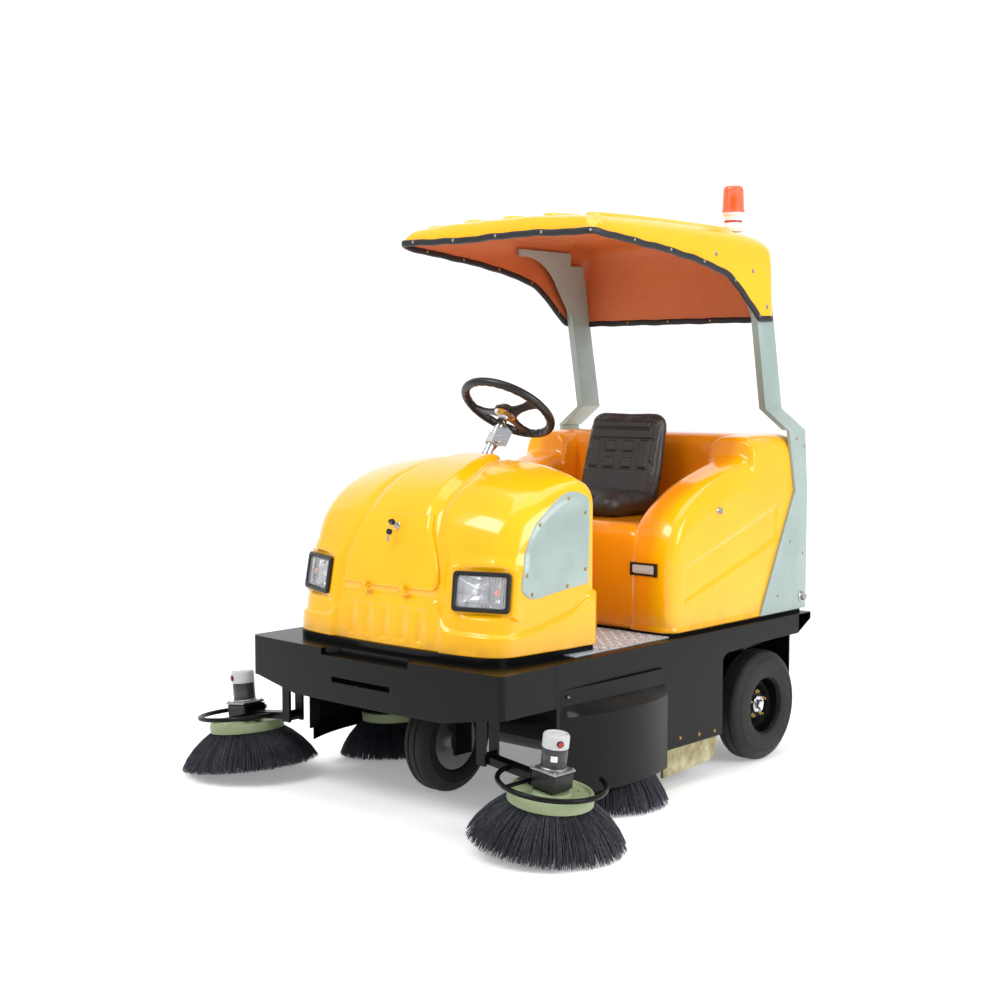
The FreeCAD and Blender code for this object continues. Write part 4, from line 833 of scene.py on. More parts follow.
def hood_lattice():
    """Lattice whose middle columns follow the edges of the raised centre."""
    grid = Lattice([(-0.37, 0.37), (-0.60, -0.30), (0.548, 0.95)], (148, 56, 112), ((26, 26), (26, 5), (0, 26)),
                   open_sides=((2, 0),))
    centre = grid.index[:, 0] == (grid.shape[0] - 1) // 2
    hits = grid.wrap(hood_base)
    table = np.full((*grid.shape[1:], 2), np.nan)
    table[grid.index[centre, 1], grid.index[centre, 2]] = hits[centre, 1:]
    y, z = table[grid.index[:, 1], grid.index[:, 2]].T
    known = ~np.isnan(y)
    width = np.where(known, hump_width(np.where(known, y, 0), np.where(known, z, 1)), 0.15)
    core, mark = 0.37, 24 / 74
    u = grid.start[:, 0] / core
    edge = np.abs(u)
    moved = np.where(edge < mark, edge / mark * width, width + (edge - mark) / (1 - mark) * (core - width))
    grid.start[:, 0] = np.where(known, np.sign(u) * moved, grid.start[:, 0])
    return grid


def make_hood():
    """The hood's skin, open under the lid and behind both headlamps."""
    grid = hood_lattice()
    points = grid.wrap(hood_field)
    middle = points[grid.quads].mean(1)
    inset, lamp_half, lamp_rise = 0.010, 0.091, 0.056
    hole = ((np.abs(middle[:, 0]) < hump_width(middle[:, 1], middle[:, 2]) - inset)
            & (middle[:, 2] > LID_LOW + 0.006) & (middle[:, 2] < LID_HIGH - 0.012) & (middle[:, 1] < -0.5))
    span, rise, out = lamp_place(np.abs(middle[:, 0]), middle[:, 1], middle[:, 2])
    hole |= (np.abs(span) < lamp_half) & (np.abs(rise) < lamp_rise) & (out > -0.06)
    shell = piece("hood_skin", points, grid.quads[~hole], [YELLOW, LINING])
    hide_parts("hood")
    thicken(shell, 0.0045)
    make_lid()


def make_lid():
    """Pressed lid over the raised centre, its edge rolled under."""
    rows, columns, roll = 66, 60, 0.034
    v = np.linspace(0, 1, rows)[:, None] * np.ones(columns)
    u = np.linspace(-1, 1, columns)[None, :] * np.ones((rows, 1))
    z = LID_LOW - 0.002 + (LID_HIGH - LID_LOW) * v
    low = np.clip((roll - (z - LID_LOW + 0.002)) / roll, 0, 1)
    round_off = roll * (1 - np.sqrt(np.clip(1 - low ** 2, 0, 1)))
    width = hump_width(-0.7 + 0 * z, z) + 0.004 - round_off
    x = u * width
    start = np.stack([x.ravel(), np.full(x.size, -0.45), z.ravel() * 0.6 + 0.36], 1)
    target = np.stack([x.ravel(), np.full(x.size, -0.70), z.ravel()], 1)
    ray = target - start
    ray /= np.linalg.norm(ray, axis=1)[:, None]
    side = (1 - np.abs(u)) * width
    near = np.minimum(side, z - LID_LOW + 0.002)
    top = np.clip((LID_HIGH - z) / 0.05, 0, 1)
    lift = 0.0165 * np.sqrt(np.clip(near / 0.010, 0, 1)) * (0.84 + 0.16 * top) + 0.0015
    lift = lift.ravel()
    base = march(start, ray, lambda a, b, c: hood_base(a, b, c) - lift, 0.6)
    faces = [(r * columns + c, r * columns + c + 1, (r + 1) * columns + c + 1, (r + 1) * columns + c)
             for r in range(rows - 1) for c in range(columns - 1)]
    lid = piece("lid_skin", base, faces, [YELLOW, LINING], "front_lid")
    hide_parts("front_lid")
    thicken(lid, 0.003)


def on_hood(x, z, lift=0.0, field=hood_field):
    """Point of the hood's front skin at a place across and a height, pushed out by lift."""
    start = np.array([[x, -0.45, z]])
    return march(start, np.array([[0, -1.0, 0]]), lambda a, b, c: field(a, b, c) - lift, 0.6)[0]


def make_hood_panel():
    """Flat grey inspection panel on each side of the hood, held by seven screws."""
    outline = through([(-0.297, 0.765), (-0.294, 0.90), (-0.294, 1.010), (-0.306, 1.040), (-0.345, 1.054),
                       (-0.395, 1.042), (-0.460, 1.002), (-0.530, 0.944), (-0.576, 0.852), (-0.598, 0.775),
                       (-0.590, 0.744), (-0.545, 0.722), (-0.430, 0.738), (-0.310, 0.750), (-0.297, 0.765)], 9)[:-1]
    middle = np.array([-0.42, 0.87])
    rings, lifts = [], []
    for scale, lift in ((0.0, 0.0045), (0.4, 0.0045), (0.8, 0.0045), (0.975, 0.0045), (0.992, 0.0036), (1.0, 0.0015),
                        (1.0, -0.003)):
        rings.append(middle + (outline - middle) * max(scale, 0.002))
        lifts.append(lift)
    n = len(outline)
    flat = np.vstack(rings)
    lift = np.repeat(lifts, n)
    start = np.stack([np.full(len(flat), 0.30), flat[:, 0], flat[:, 1]], 1)
    hit = march(start, np.tile([1.0, 0, 0], (len(flat), 1)), lambda x, y, z: hood_field(x, y, z) - lift, 0.4)
    faces = [(a * n + i, a * n + (i + 1) % n, (a + 1) * n + (i + 1) % n, (a + 1) * n + i)
             for a in range(len(rings) - 1) for i in range(n)]
    faces.append(tuple(range(n)))
    parts = Parts().add(hit, faces).add(mirrored(hit), faces)
    screws = []
    for y, z in ((-0.312, 0.985), (-0.312, 0.80), (-0.375, 1.032), (-0.505, 0.955), (-0.578, 0.800), (-0.556, 0.738),
                 (-0.400, 0.752)):
        face = march(np.array([[0.30, y, z]]), np.array([[1.0, 0, 0]]), hood_field, 0.4)[0][0]
        screws.append(((face + 0.0042, y, z), (1, 0, 0)))
    panel = parts.build("hood_panel_sheets", GREY, slot=slot_of("hood_side_panels"))
    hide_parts("hood_side_panels")
    studs("hood_panel_screws", GOLD, screws, 0.0065, 0.0042, both_sides=True)


make_hood()
make_hood_panel()


# ---------------------------------------------------------------- headlamps

def round_rect(width, height, radius, per=6):
    """Rounded rectangle about the origin, anticlockwise."""
    points = []
    for cx, cy, turn in ((1, 1, 0), (-1, 1, 90), (-1, -1, 180), (1, -1, 270)):
        for a in np.radians(turn + np.linspace(0, 90, per)):
            points.append((cx * (width / 2 - radius) + radius * math.cos(a),
                           cy * (height / 2 - radius) + radius * math.sin(a)))
    return np.array(points)


class Bench:
    """A tilted working frame: across, up and out from an origin."""

    def __init__(self, origin, across, up):
        self.origin = np.array(origin, float)
        self.across = np.array(Vector(across).normalized())
        self.out = np.cross(self.across, np.array(Vector(up).normalized()))
        self.out /= np.linalg.norm(self.out)
        self.up = np.cross(self.out, self.across)

    def at(self, a, b, c=0.0):
        return self.origin + np.multiply.outer(a, self.across) + np.multiply.outer(b, self.up) \
            + np.multiply.outer(c, self.out)

    def ring(self, outline, depth, scale=1.0, shift=(0, 0)):
        return self.at(outline[:, 0] * scale + shift[0], outline[:, 1] * scale + shift[1], np.full(len(outline), depth))


def make_headlamps():
    """Two-chamber headlamps: bezel, fluted bowls, bulbs and a domed lens."""
    frames, bowls, lenses, bulbs, glow = Parts(), Parts(), Parts(), Parts(), Parts()
    for sign in (1, -1):
        side = np.array((sign, 1, 1))
        bench = Bench(LAMP_MIDDLE * side, LAMP_ACROSS * side * sign, LAMP_UP * side)
        flip = sign
        rings = [(0.192, 0.122, 0.012, -0.055), (0.194, 0.124, 0.012, 0.000), (0.199, 0.129, 0.014, 0.006),
                 (0.199, 0.129, 0.014, 0.011), (0.194, 0.124, 0.013, 0.0145), (0.176, 0.108, 0.012, 0.0145),
                 (0.170, 0.102, 0.011, 0.011), (0.166, 0.098, 0.010, 0.002), (0.164, 0.096, 0.010, -0.050)]
        frames.rings([bench.ring(round_rect(w, h, r), d) for w, h, r, d in rings], caps=False)
        for shift, wide, deep in ((-0.029 * flip, 0.104, 0.040), (0.053 * flip, 0.058, 0.026)):
            outline = round_rect(wide, 0.094, 0.010)
            bowl = [bench.ring(outline, 0.001, 1.0, (shift, 0)), bench.ring(outline, -deep * 0.45, 0.86, (shift, 0)),
                    bench.ring(outline, -deep * 0.85, 0.56, (shift, 0)), bench.ring(outline, -deep, 0.16, (shift, 0)),
                    bench.ring(outline, -deep, 0.02, (shift, 0))]
            bowls.rings(bowl, caps=False)
        bowls.rings([bench.ring(round_rect(0.164, 0.096, 0.010), -0.046),
                     bench.ring(round_rect(0.02, 0.02, 0.004), -0.046)], caps=False)
        for k in range(7):
            place = (0.030 + 0.0078 * k) * flip
            bowls.rings([bench.ring(round_rect(0.0022, 0.088, 0.0009, 3), d, 1, (place, 0)) for d in (-0.010, -0.002)])
        for b in (-0.030, 0.030):
            bowls.rings([bench.ring(round_rect(0.096, 0.0022, 0.0009, 3), d, 1, (-0.029 * flip, b))
                         for d in (-0.016, -0.004)])
        dome = [bench.ring(round_rect(0.170, 0.102, 0.012), 0.0065)]
        for scale, depth in ((1.0, 0.0095), (0.97, 0.0115), (0.8, 0.0130), (0.4, 0.0142), (0.02, 0.0145)):
            dome.append(bench.ring(round_rect(0.170, 0.102, 0.012), depth, scale))
        lenses.rings(dome)
        for shift, radius, which in ((-0.029 * flip, 0.0095, bulbs), (0.050 * flip, 0.0120, glow),
                                     (0.076 * flip, 0.0055, glow)):
            profile = [(radius * math.sin(a), -0.012 + radius * (1 - math.cos(a)) - 0.008)
                       for a in np.linspace(0, math.pi, 9)]
            which.lathe(profile, bench.at(shift, 0.0, 0.0), bench.out, 18)
            bowls.lathe([(0.0, -0.034), (0.008, -0.034), (0.008, -0.018), (0.0, -0.016)], bench.at(shift, 0, 0),
                        bench.out, 14)
    frame_piece = frames.build("headlamp_bezels", KNOB, slot=slot_of("headlamps"))
    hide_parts("headlamps")
    bowls.build("headlamp_reflectors", CHROME, smooth=60)
    lenses.build("headlamp_lenses", CLEAR, smooth=60)
    bulbs.build("headlamp_bulbs", WHITE)
    glow.build("turn_signal_bulbs", BULB)


def make_lid_fittings():
    """Key lock with its two keys, and the small outside hinges."""
    barrel, keys, hinges = Parts(), Parts(), Parts()
    spot = on_hood(0.016, 0.936, 0.0165, hood_base)
    out = Vector((0, -0.86, 0.5)).normalized()
    barrel.lathe([(0, -0.004), (0.0135, -0.004), (0.0135, 0.003), (0.0115, 0.005), (0.0095, 0.005), (0.009, 0.008),
                  (0, 0.008)], spot, out, 24)
    bench = Bench(np.array(spot) + np.array(out) * 0.006, (1, 0, 0), (0, 0.5, 0.86))
    blade = Bench(bench.at(0, 0, 0.012), (0.35, -0.6, -0.72), (0.94, 0.2, 0.3))
    keys.rings([blade.ring(round_rect(0.020, 0.006, 0.002, 4), d, 1, (-0.002, 0)) for d in (-0.001, 0.001)])
    bow = Bench(bench.at(0, 0, 0.024), (0.94, 0.2, 0.3), (0.0, -0.5, 0.86))
    keys.rings([bow.ring(round_rect(0.022, 0.020, 0.006), d) for d in (-0.0022, -0.0012, 0.0012, 0.0022)], finish=1)
    angle = np.linspace(0, math.tau, 21)[:-1]
    loop = bench.at(0.009 * np.cos(angle), -0.014 + 0.011 * np.sin(angle), 0.028 + 0.004 * np.cos(angle))
    keys.pipe(loop, 0.0008, 6, closed=True)
    hang = Bench(bench.at(0.002, -0.034, 0.020), (0.9, 0.3, -0.2), (0.2, 0.1, 1))
    keys.rings([hang.ring(round_rect(0.020, 0.018, 0.006), d) for d in (-0.002, -0.001, 0.001, 0.002)], finish=1)
    keys.rings([hang.ring(round_rect(0.007, 0.026, 0.002, 4), d, 1, (0, -0.020)) for d in (-0.001, 0.001)])
    barrel.build("lid_lock", CHROME, "front_lid")
    keys.build("lid_keys", [STEEL, KNOB], "front_lid")
    for sign in (1, -1):
        for end in (-0.0125, 0.0125):
            hinges.slab((sign * 0.088 + end - 0.003, -0.741, 0.726), (sign * 0.088 + end + 0.003, -0.722, 0.736),
                        0.0008)
        hinges.bar((sign * 0.088 - 0.016, -0.737, 0.733), (sign * 0.088 + 0.016, -0.737, 0.733), 0.003)
        for screw in (-0.0125, 0.0125):
            hinges.lathe([(0, 0), (0.0035, 0), (0.003, 0.0015), (0, 0.002)],
                         (sign * 0.088 + screw, -0.741, 0.731), (0, -1, 0), 10)
    hinges.build("lid_hinge_ears", YELLOW)
    knuckles = Parts()
    for sign in (1, -1):
        knuckles.bar((sign * 0.088 - 0.008, -0.737, 0.733), (sign * 0.088 + 0.008, -0.737, 0.733), 0.0055)
        knuckles.slab((sign * 0.088 - 0.008, -0.741, 0.737), (sign * 0.088 + 0.008, -0.729, 0.750), 0.001)
    knuckles.build("lid_hinge_knuckles", YELLOW, "front_lid")


make_headlamps()
make_lid_fittings()


# ---------------------------------------------------------------- canopy

CANOPY_PLAN = Outline(mirror_line([(0, -0.240)] + through([(0.30, -0.239), (0.430, -0.236), (0.458, -0.222),
                                                         (0.461, -0.18)], 8).tolist()
                                  + [(0.474, 0.80)]
                                  + through([(0.474, 0.86), (0.462, 0.903), (0.42, 0.915)], 8).tolist()
                                  + [(0, 0.915)]))
CANOPY_SIDE = Outline(np.vstack([through([(-0.236, 1.895), (-0.226, 1.922), (-0.200, 1.952), (-0.150, 1.969),
                                          (0.03, 1.976), (0.366, 1.978), (0.641, 1.973), (0.790, 1.962),
                                          (0.872, 1.935), (0.898, 1.870), (0.906, 1.780), (0.914, 1.644),
                                          (0.918, 1.590)], 14), [(0.918, 1.2), (-0.236, 1.2)]]))


def trim_height(y):
    """Height of the canopy's lower edge at its side."""
    return steps(y, (-0.24, 1.903), (-0.06, 1.885), (0.10, 1.870), (0.263, 1.852), (0.422, 1.826), (0.55, 1.795),
                 (0.63, 1.752), (0.70, 1.697), (0.765, 1.645), (0.80, 1.640), (0.92, 1.640))


def canopy_field(x, y, z):
    """The canopy with five raised ribs along its top."""
    across = np.abs(x)
    drop = steps(across, (0, -0.006), (0.16, -0.005), (0.30, 0.001), (0.42, 0.010), (0.48, 0.016))
    rib = np.zeros_like(x)
    for centre in (-0.374, -0.187, 0.0, 0.187, 0.374):
        wide = np.maximum(np.abs(x - centre) - 0.012, 0)
        far = np.maximum(np.maximum(-0.105 - y, y - 0.66), 0)
        rib += np.where(z > 1.9, 1 - ease(np.hypot(wide, far), 0.010, 0.026), 0) * 0.011
    ripple = 0.0016 * np.sin(x * 23 + 1.3) * np.sin(x * 9.1) * (y < -0.15)
    body = both(CANOPY_PLAN.at(across, y), CANOPY_SIDE.at(y, z + drop), 0.085)
    return body + ripple - rib


def make_canopy():
    """One curved sheet with a ribbed top; gives back its lower edge."""
    grid = Lattice([(-0.38, 0.38), (-0.13, 0.78), (1.2, 1.90)], (150, 150, 26), ((14, 14), (14, 14), (0, 16)),
                   open_sides=((2, 0),))
    share = (grid.start[:, 2] - 1.2) / 0.70
    y_out = grid.start[:, 1] + np.where(grid.turn[:, 1] < 0, 0.105, 0.13) * grid.turn[:, 1]
    on_front = grid.index[:, 1] == 0
    on_rear = grid.index[:, 1] == grid.shape[1] - 1
    low = np.where(on_front, 1.903 + 0.003 * np.sin(grid.start[:, 0] * 11), trim_height(y_out))
    low = np.where(on_rear, 1.640, low)
    grid.start[:, 2] = low + share * (1.90 - low)
    grid.start[:, 2] = np.where(low > 1.90, low, grid.start[:, 2])
    points = grid.wrap(canopy_field, 0.5)
    shell = piece("canopy_skin", points, grid.quads, [YELLOW, LINING])
    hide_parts("canopy")
    thicken(shell, 0.005)
    nx, ny = grid.shape[0], grid.shape[1]
    table = {tuple(index[:2]): point for index, point in zip(grid.index, points) if index[2] == 0}
    walk = ([(i, 0) for i in range(nx)] + [(nx - 1, j) for j in range(1, ny)]
            + [(i, ny - 1) for i in range(nx - 2, -1, -1)] + [(0, j) for j in range(ny - 2, 0, -1)])
    return np.array([table[key] for key in walk])


def make_canopy_trim(edge):
    """Rubber channel pressed over the canopy's edge, with a rivet every 240 mm."""
    for _ in range(6):
        edge = (np.roll(edge, 1, axis=0) + edge * 2 + np.roll(edge, -1, axis=0)) / 4
    middle = edge.mean(0)
    ahead = np.roll(edge, -1, axis=0) - np.roll(edge, 1, axis=0)
    ahead /= np.linalg.norm(ahead, axis=1)[:, None]
    out = np.cross(ahead, (0, 0, 1.0))
    out /= np.linalg.norm(out, axis=1)[:, None]
    out *= np.sign(((edge - middle) * out).sum(1))[:, None]
    up = np.cross(out, ahead)
    up *= np.sign(up[:, 2])[:, None]
    length = np.concatenate([[0], np.cumsum(np.linalg.norm(np.diff(edge, axis=0), axis=1))])
    wobble = 0.0009 * np.sin(length * 31) + 0.0008 * np.sin(length * 57 + 1)
    section = round_rect(0.0165, 0.023, 0.0068, 5)
    rings = []
    for a, b in section:
        rings.append(edge + out * (a - 0.003 + wobble[:, None] * 0.6) + up * (b + 0.004 + wobble[:, None]))
    rings = np.stack(rings, 1)
    trim = Parts()
    trim.rings(list(rings) + [rings[0]], caps=False)
    trim.build("canopy_trim", TRIM, smooth=50)
    total = length[-1]
    outside, inside = [], []
    count = 20
    for k in range(count):
        place = (k + 0.35) / count * total
        i = int(np.searchsorted(length, place)) % len(edge)
        for parts, side in ((outside, 1), (inside, -1)):
            parts.append((edge[i] + out[i] * (side * 0.0074 - 0.003) + up[i] * 0.006, out[i] * side))
    studs("canopy_rivets", STEEL, outside, 0.0062, 0.0036)
    studs("canopy_rivet_washers", GOLD, inside, 0.0058, 0.0030)


def make_canopy_bolts():
    """Three bolts and washers a side, through to the pillars."""
    washers, heads = [], []
    for y, z in ((0.482, 1.867), (0.721, 1.817), (0.818, 1.688)):
        hit = march(np.array([[0.35, y, z]]), np.array([[1.0, 0, 0]]), canopy_field, 0.3)[0][0]
        washers.append(((hit - 0.0005, y, z), (1, 0, 0)))
        heads.append(((hit + 0.0005, y, z), (1, 0, 0)))
    studs("canopy_bolt_washers", STEEL, washers, 0.0095, 0.0022, both_sides=True)
    studs("canopy_bolts", STEEL, heads, 0.0062, 0.0062, both_sides=True)


make_canopy_trim(make_canopy())
make_canopy_bolts()


# ---------------------------------------------------------------- rear body

BODY_FRONT, BODY_REAR, BODY_FOOT, BODY_TOP = 0.113, 0.966, 0.535, 1.2105


def box_top(y):
    """Top line of the boxes beside the seat."""
    return steps(y, (0.06, 0.84), (0.098, 0.850), (0.120, 0.868), (0.145, 0.905), (0.171, 0.934), (0.22, 0.974),
                 (0.275, 1.006), (0.335, 1.036), (0.398, 1.060), (0.48, 1.086), (0.558, 1.108), (0.600, 1.122),
                 (0.615, 1.140), (0.622, 1.180), (0.632, 1.198), (0.665, 1.205), (0.75, 1.2085), (0.97, 1.2085))


def panel_edges(y, z):
    """Signed distance to the pressed four-sided panel on the body's side."""
    top = 0.757 + (y - 0.186) * 0.3065
    low = 0.637 + (y - 0.186) * 0.3000
    slope = 1.045
    return np.maximum(np.maximum((z - top) / slope, (low - z) / slope), np.maximum(0.190 - y, y - 0.780))


def side_box_field(x, y, z):
    """Box beside the seat, with its embossed panel and turned-out foot."""
    bulge = 0.004 * np.sin(np.clip((y - BODY_FRONT) / (BODY_REAR - BODY_FRONT), 0, 1) * math.pi)
    plan = both(np.abs(x - 0.45) - 0.100 - bulge, np.abs(y - 0.5395) - 0.4265, 0.060)
    body = both(plan, (z - box_top(y)) * 0.86, 0.075)
    emboss = (1 - ease(panel_edges(y, z), -0.004, 0.003)) * 0.0060 * (x > 0.5)
    foot = ease(0.552 - z, 0, 0.008) * 0.004
    return body + emboss - foot


def seat_box_field(x, y, z):
    return both(both(np.abs(x) - 0.40, np.abs(y - 0.45) - 0.330, 0.03), z - 0.905 - 0.004 * np.cos(x * 4), 0.070)


def rear_wall_field(x, y, z):
    return both(both(np.abs(x) - 0.50, np.abs(y - 0.832) - 0.134, 0.06), z - BODY_TOP + 0.002, 0.070)


def make_rear_body():
    """Boxes beside the seat, the seat's base and the wall behind it, as one moulding."""
    box = Lattice([(0.40, 0.50), (0.19, 0.88), (BODY_FOOT, 0.80)], (20, 150, 66), ((10, 10), (10, 10), (0, 12)),
                  open_sides=((2, 0),))
    high = np.interp(box.start[:, 1], [0.19, 0.30, 0.45, 0.60, 0.64, 0.88], [0.80, 0.86, 0.93, 0.97, 1.05, 1.07])
    box.start[:, 2] = BODY_FOOT + (box.start[:, 2] - BODY_FOOT) / (0.80 - BODY_FOOT) * (high - BODY_FOOT)
    points = box.wrap(side_box_field, 0.5)
    seat = Lattice([(-0.33, 0.33), (0.20, 0.70), (BODY_FOOT, 0.80)], (40, 30, 16), ((6, 6), (8, 6), (0, 8)),
                   open_sides=((2, 0),))
    wall = Lattice([(-0.44, 0.44), (0.76, 0.90), (BODY_FOOT, 1.12)], (50, 8, 30), ((8, 8), (8, 8), (0, 10)),
                   open_sides=((2, 0),))
    parts = Parts()
    parts.add(points, box.quads).add(mirrored(points), box.quads[:, ::-1])
    parts.add(seat.wrap(seat_box_field, 0.5), seat.quads).add(wall.wrap(rear_wall_field, 0.5), wall.quads)
    body = piece("rear_body_skin", np.vstack(parts.points), parts.faces, [YELLOW, LINING])
    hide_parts("rear_body")
    thicken(body, 0.005)


def make_body_fittings():
    """Flush handle on the left box's front, locks, cover bolts and the rear latch."""
    shell, grip, locks, gold = Parts(), Parts(), Parts(), []
    face = march(np.array([[0.433, 0.3, 0.752]]), np.array([[0, -1.0, 0]]), side_box_field, 0.4)[0][1]
    bench = Bench((0.433, face, 0.752), (1, 0, 0), (0, 0, 1))
    rings = [(0.112, 0.046, 0.004, -0.004), (0.112, 0.046, 0.004, 0.003), (0.108, 0.042, 0.003, 0.0055),
             (0.098, 0.034, 0.002, 0.0055), (0.096, 0.032, 0.002, -0.010), (0.02, 0.01, 0.002, -0.011)]
    shell.rings([bench.ring(round_rect(w, h, r), d) for w, h, r, d in rings])
    for end in (-0.0515, 0.0515):
        shell.rings([bench.ring(round_rect(0.011, 0.047, 0.003), d, 1, (end, 0)) for d in (-0.002, 0.008, 0.009)])
    grip.rings([bench.ring(round_rect(0.092, h, 0.002), d, 1, (0, b)) for h, d, b in
                ((0.030, 0.002, 0.0), (0.028, 0.007, 0.001), (0.018, 0.009, 0.004), (0.004, 0.0085, 0.010))])
    shell.build("box_handle_frame", KNOB)
    grip.build("box_handle_grip", MOTOR_GREY)
    for sign in (1, -1):
        side = march(np.array([[0.45, 0.391, 0.947]]), np.array([[1.0, 0, 0]]), side_box_field, 0.3)[0][0]
        locks.lathe([(0, -0.002), (0.013, -0.002), (0.013, 0.001), (0.009, 0.004), (0.008, 0.012), (0.006, 0.015),
                     (0, 0.016)], (sign * side, 0.391, 0.947), (sign, 0, 0), 20)
        locks.slab((sign * (side + 0.013) - 0.002, 0.385, 0.935), (sign * (side + 0.013) + 0.002, 0.397, 0.959), 0.001)
        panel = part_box("canopy_pillar_left")[1]
        locks.lathe([(0, -0.002), (0.019, -0.002), (0.019, 0.003), (0.014, 0.006), (0.014, 0.016), (0.011, 0.020),
                     (0, 0.020)], (sign * panel.x, 0.945, 0.583), (sign, 0, 0), 24)
        gold += [((sign * panel.x, y, z), (sign, 0, 0))
                 for y, z in ((0.955, 1.16), (0.90, 1.19), (0.955, 0.75), (0.78, 0.60), (0.86, 0.80))]
    locks.build("body_locks", STEEL)
    studs("corner_panel_screws", GOLD, gold)


make_rear_body()
make_body_fittings()


# ---------------------------------------------------------------- wheels

def wheel_profile(width, radius, seat, grooves):
    """Tyre section as (radius, across) pairs, from one bead over the tread to the other."""
    w = width / 2
    half = [(seat, w - 0.014), (seat + 0.004, w - 0.006), (seat + 0.018, w - 0.001), (seat + 0.040, w),
            (radius - 0.040, w - 0.0005), (radius - 0.038, w + 0.0008), (radius - 0.034, w + 0.0008),
            (radius - 0.032, w - 0.001), (radius - 0.018, w - 0.007), (radius - 0.008, w - 0.014),
            (radius - 0.002, w - 0.023), (radius - 0.0008, w - 0.028)]
    for at in sorted(grooves, reverse=True):
        half += [(radius - 0.0004, at + 0.0030), (radius - 0.0052, at + 0.0020), (radius - 0.0052, at - 0.0020),
                 (radius - 0.0004, at - 0.0030)]
    return half + [(r, -a) for r, a in half[::-1] if (r, a) != half[-1] or a > 0.001]


REAR_HUB, FRONT_HUB = np.array((0.542, 0.663, 0.205)), np.array((0.0, -0.433, 0.178))


def make_wheels():
    """Tyres, dished rear rims with their hub caps and nuts, and the front tyre."""
    for side, sign in (("left", 1), ("right", -1)):
        hub = REAR_HUB * (sign, 1, 1)
        out = (sign, 0, 0)
        tyre = Parts()
        profile = wheel_profile(0.110, REAR_HUB[2], 0.1035, (0.016, 0.0))
        tyre.lathe(profile, hub, out, 96, closed=True)
        rubber_piece = tyre.build(f"rear_tyre_{side}_moulded", TYRE, f"rear_wheel_{side}",
                                  slot_of(f"rear_tyre_{side}"), 32)
        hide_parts(f"rear_tyre_{side}")
        rim = Parts()
        rim.lathe([(0.1030, 0.034), (0.1075, 0.0385), (0.1075, 0.0410), (0.1010, 0.0410), (0.0985, 0.0385),
                   (0.0965, 0.0300), (0.0960, 0.0080), (0.0900, -0.0020), (0.0760, -0.0070), (0.0620, -0.0040),
                   (0.0540, 0.0030), (0.0380, 0.0040), (0.0200, 0.0040), (0.0200, -0.0020), (0.0380, -0.0020),
                   (0.0600, -0.0100), (0.0760, -0.0130), (0.0930, -0.0090), (0.0990, 0.0000), (0.0990, -0.0300),
                   (0.1020, -0.0400), (0.1070, -0.0400), (0.1030, -0.0340)], hub, out, 72, closed=True)
        rim_piece = rim.build(f"rear_rim_{side}_dished", BLACK, f"rear_wheel_{side}", slot_of(f"rear_rim_{side}"), 35)
        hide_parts(f"rear_rim_{side}")
        cap = Parts()
        cap.lathe([(0.0210, 0.002), (0.0330, 0.0045), (0.0335, 0.0160), (0.0315, 0.0180), (0.0290, 0.0160),
                   (0.0285, 0.0120), (0.0180, 0.0120), (0.0180, 0.0260), (0.0150, 0.0300), (0.0080, 0.0315),
                   (0, 0.0318)], hub, out, 48)
        cap.build(f"rear_hub_{side}", CHROME, f"rear_wheel_{side}")
        nuts = Parts()
        for k in range(5):
            a = math.tau * (k + 0.25) / 5
            spot = hub + (0.0035 * sign, 0.048 * math.cos(a), 0.048 * math.sin(a))
            nuts.lathe([(0, -0.001), (0.0085, -0.001), (0.0085, 0.0055), (0.0070, 0.0070), (0.0045, 0.0070),
                        (0.0045, 0.0130), (0.0035, 0.0140), (0, 0.0140)], spot, out, 6)
        nuts.build(f"rear_wheel_{side}_nuts", GOLD, f"rear_wheel_{side}", smooth=20)
    tyre = Parts()
    tyre.lathe(wheel_profile(0.104, FRONT_HUB[2], 0.1005, (0.014,)), FRONT_HUB, (1, 0, 0), 96, closed=True)
    front = tyre.build("front_tyre_moulded", TYRE, "front_wheel", slot_of("front_tyre"), 32)
    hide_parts("front_tyre")


# ---------------------------------------------------------------- brushes and their motors

FRONT_BRUSH = (0.700, -0.732, 7, 0.496)
MID_BRUSH = (0.488, -0.189, 4, 0.450)
UPRIGHT = ((0, 0, 0), (0, 0, 1))


def carried(places, matrix):
    """(point, facing) places moved by a matrix."""
    turn = matrix.to_3x3()
    return [(matrix @ Vector(point), turn @ Vector(facing)) for point, facing in places]


def brush_place(x, y, tilt, dia, sign):
    """Brush axis at a place, leaning outwards by the tilt, with its lowest tips just off the ground."""
    low = math.sin(math.radians(tilt)) * dia / 2 + 0.002
    return Matrix.Translation((sign * x, y, low)) @ Matrix.Rotation(sign * math.radians(tilt), 4, "Y")


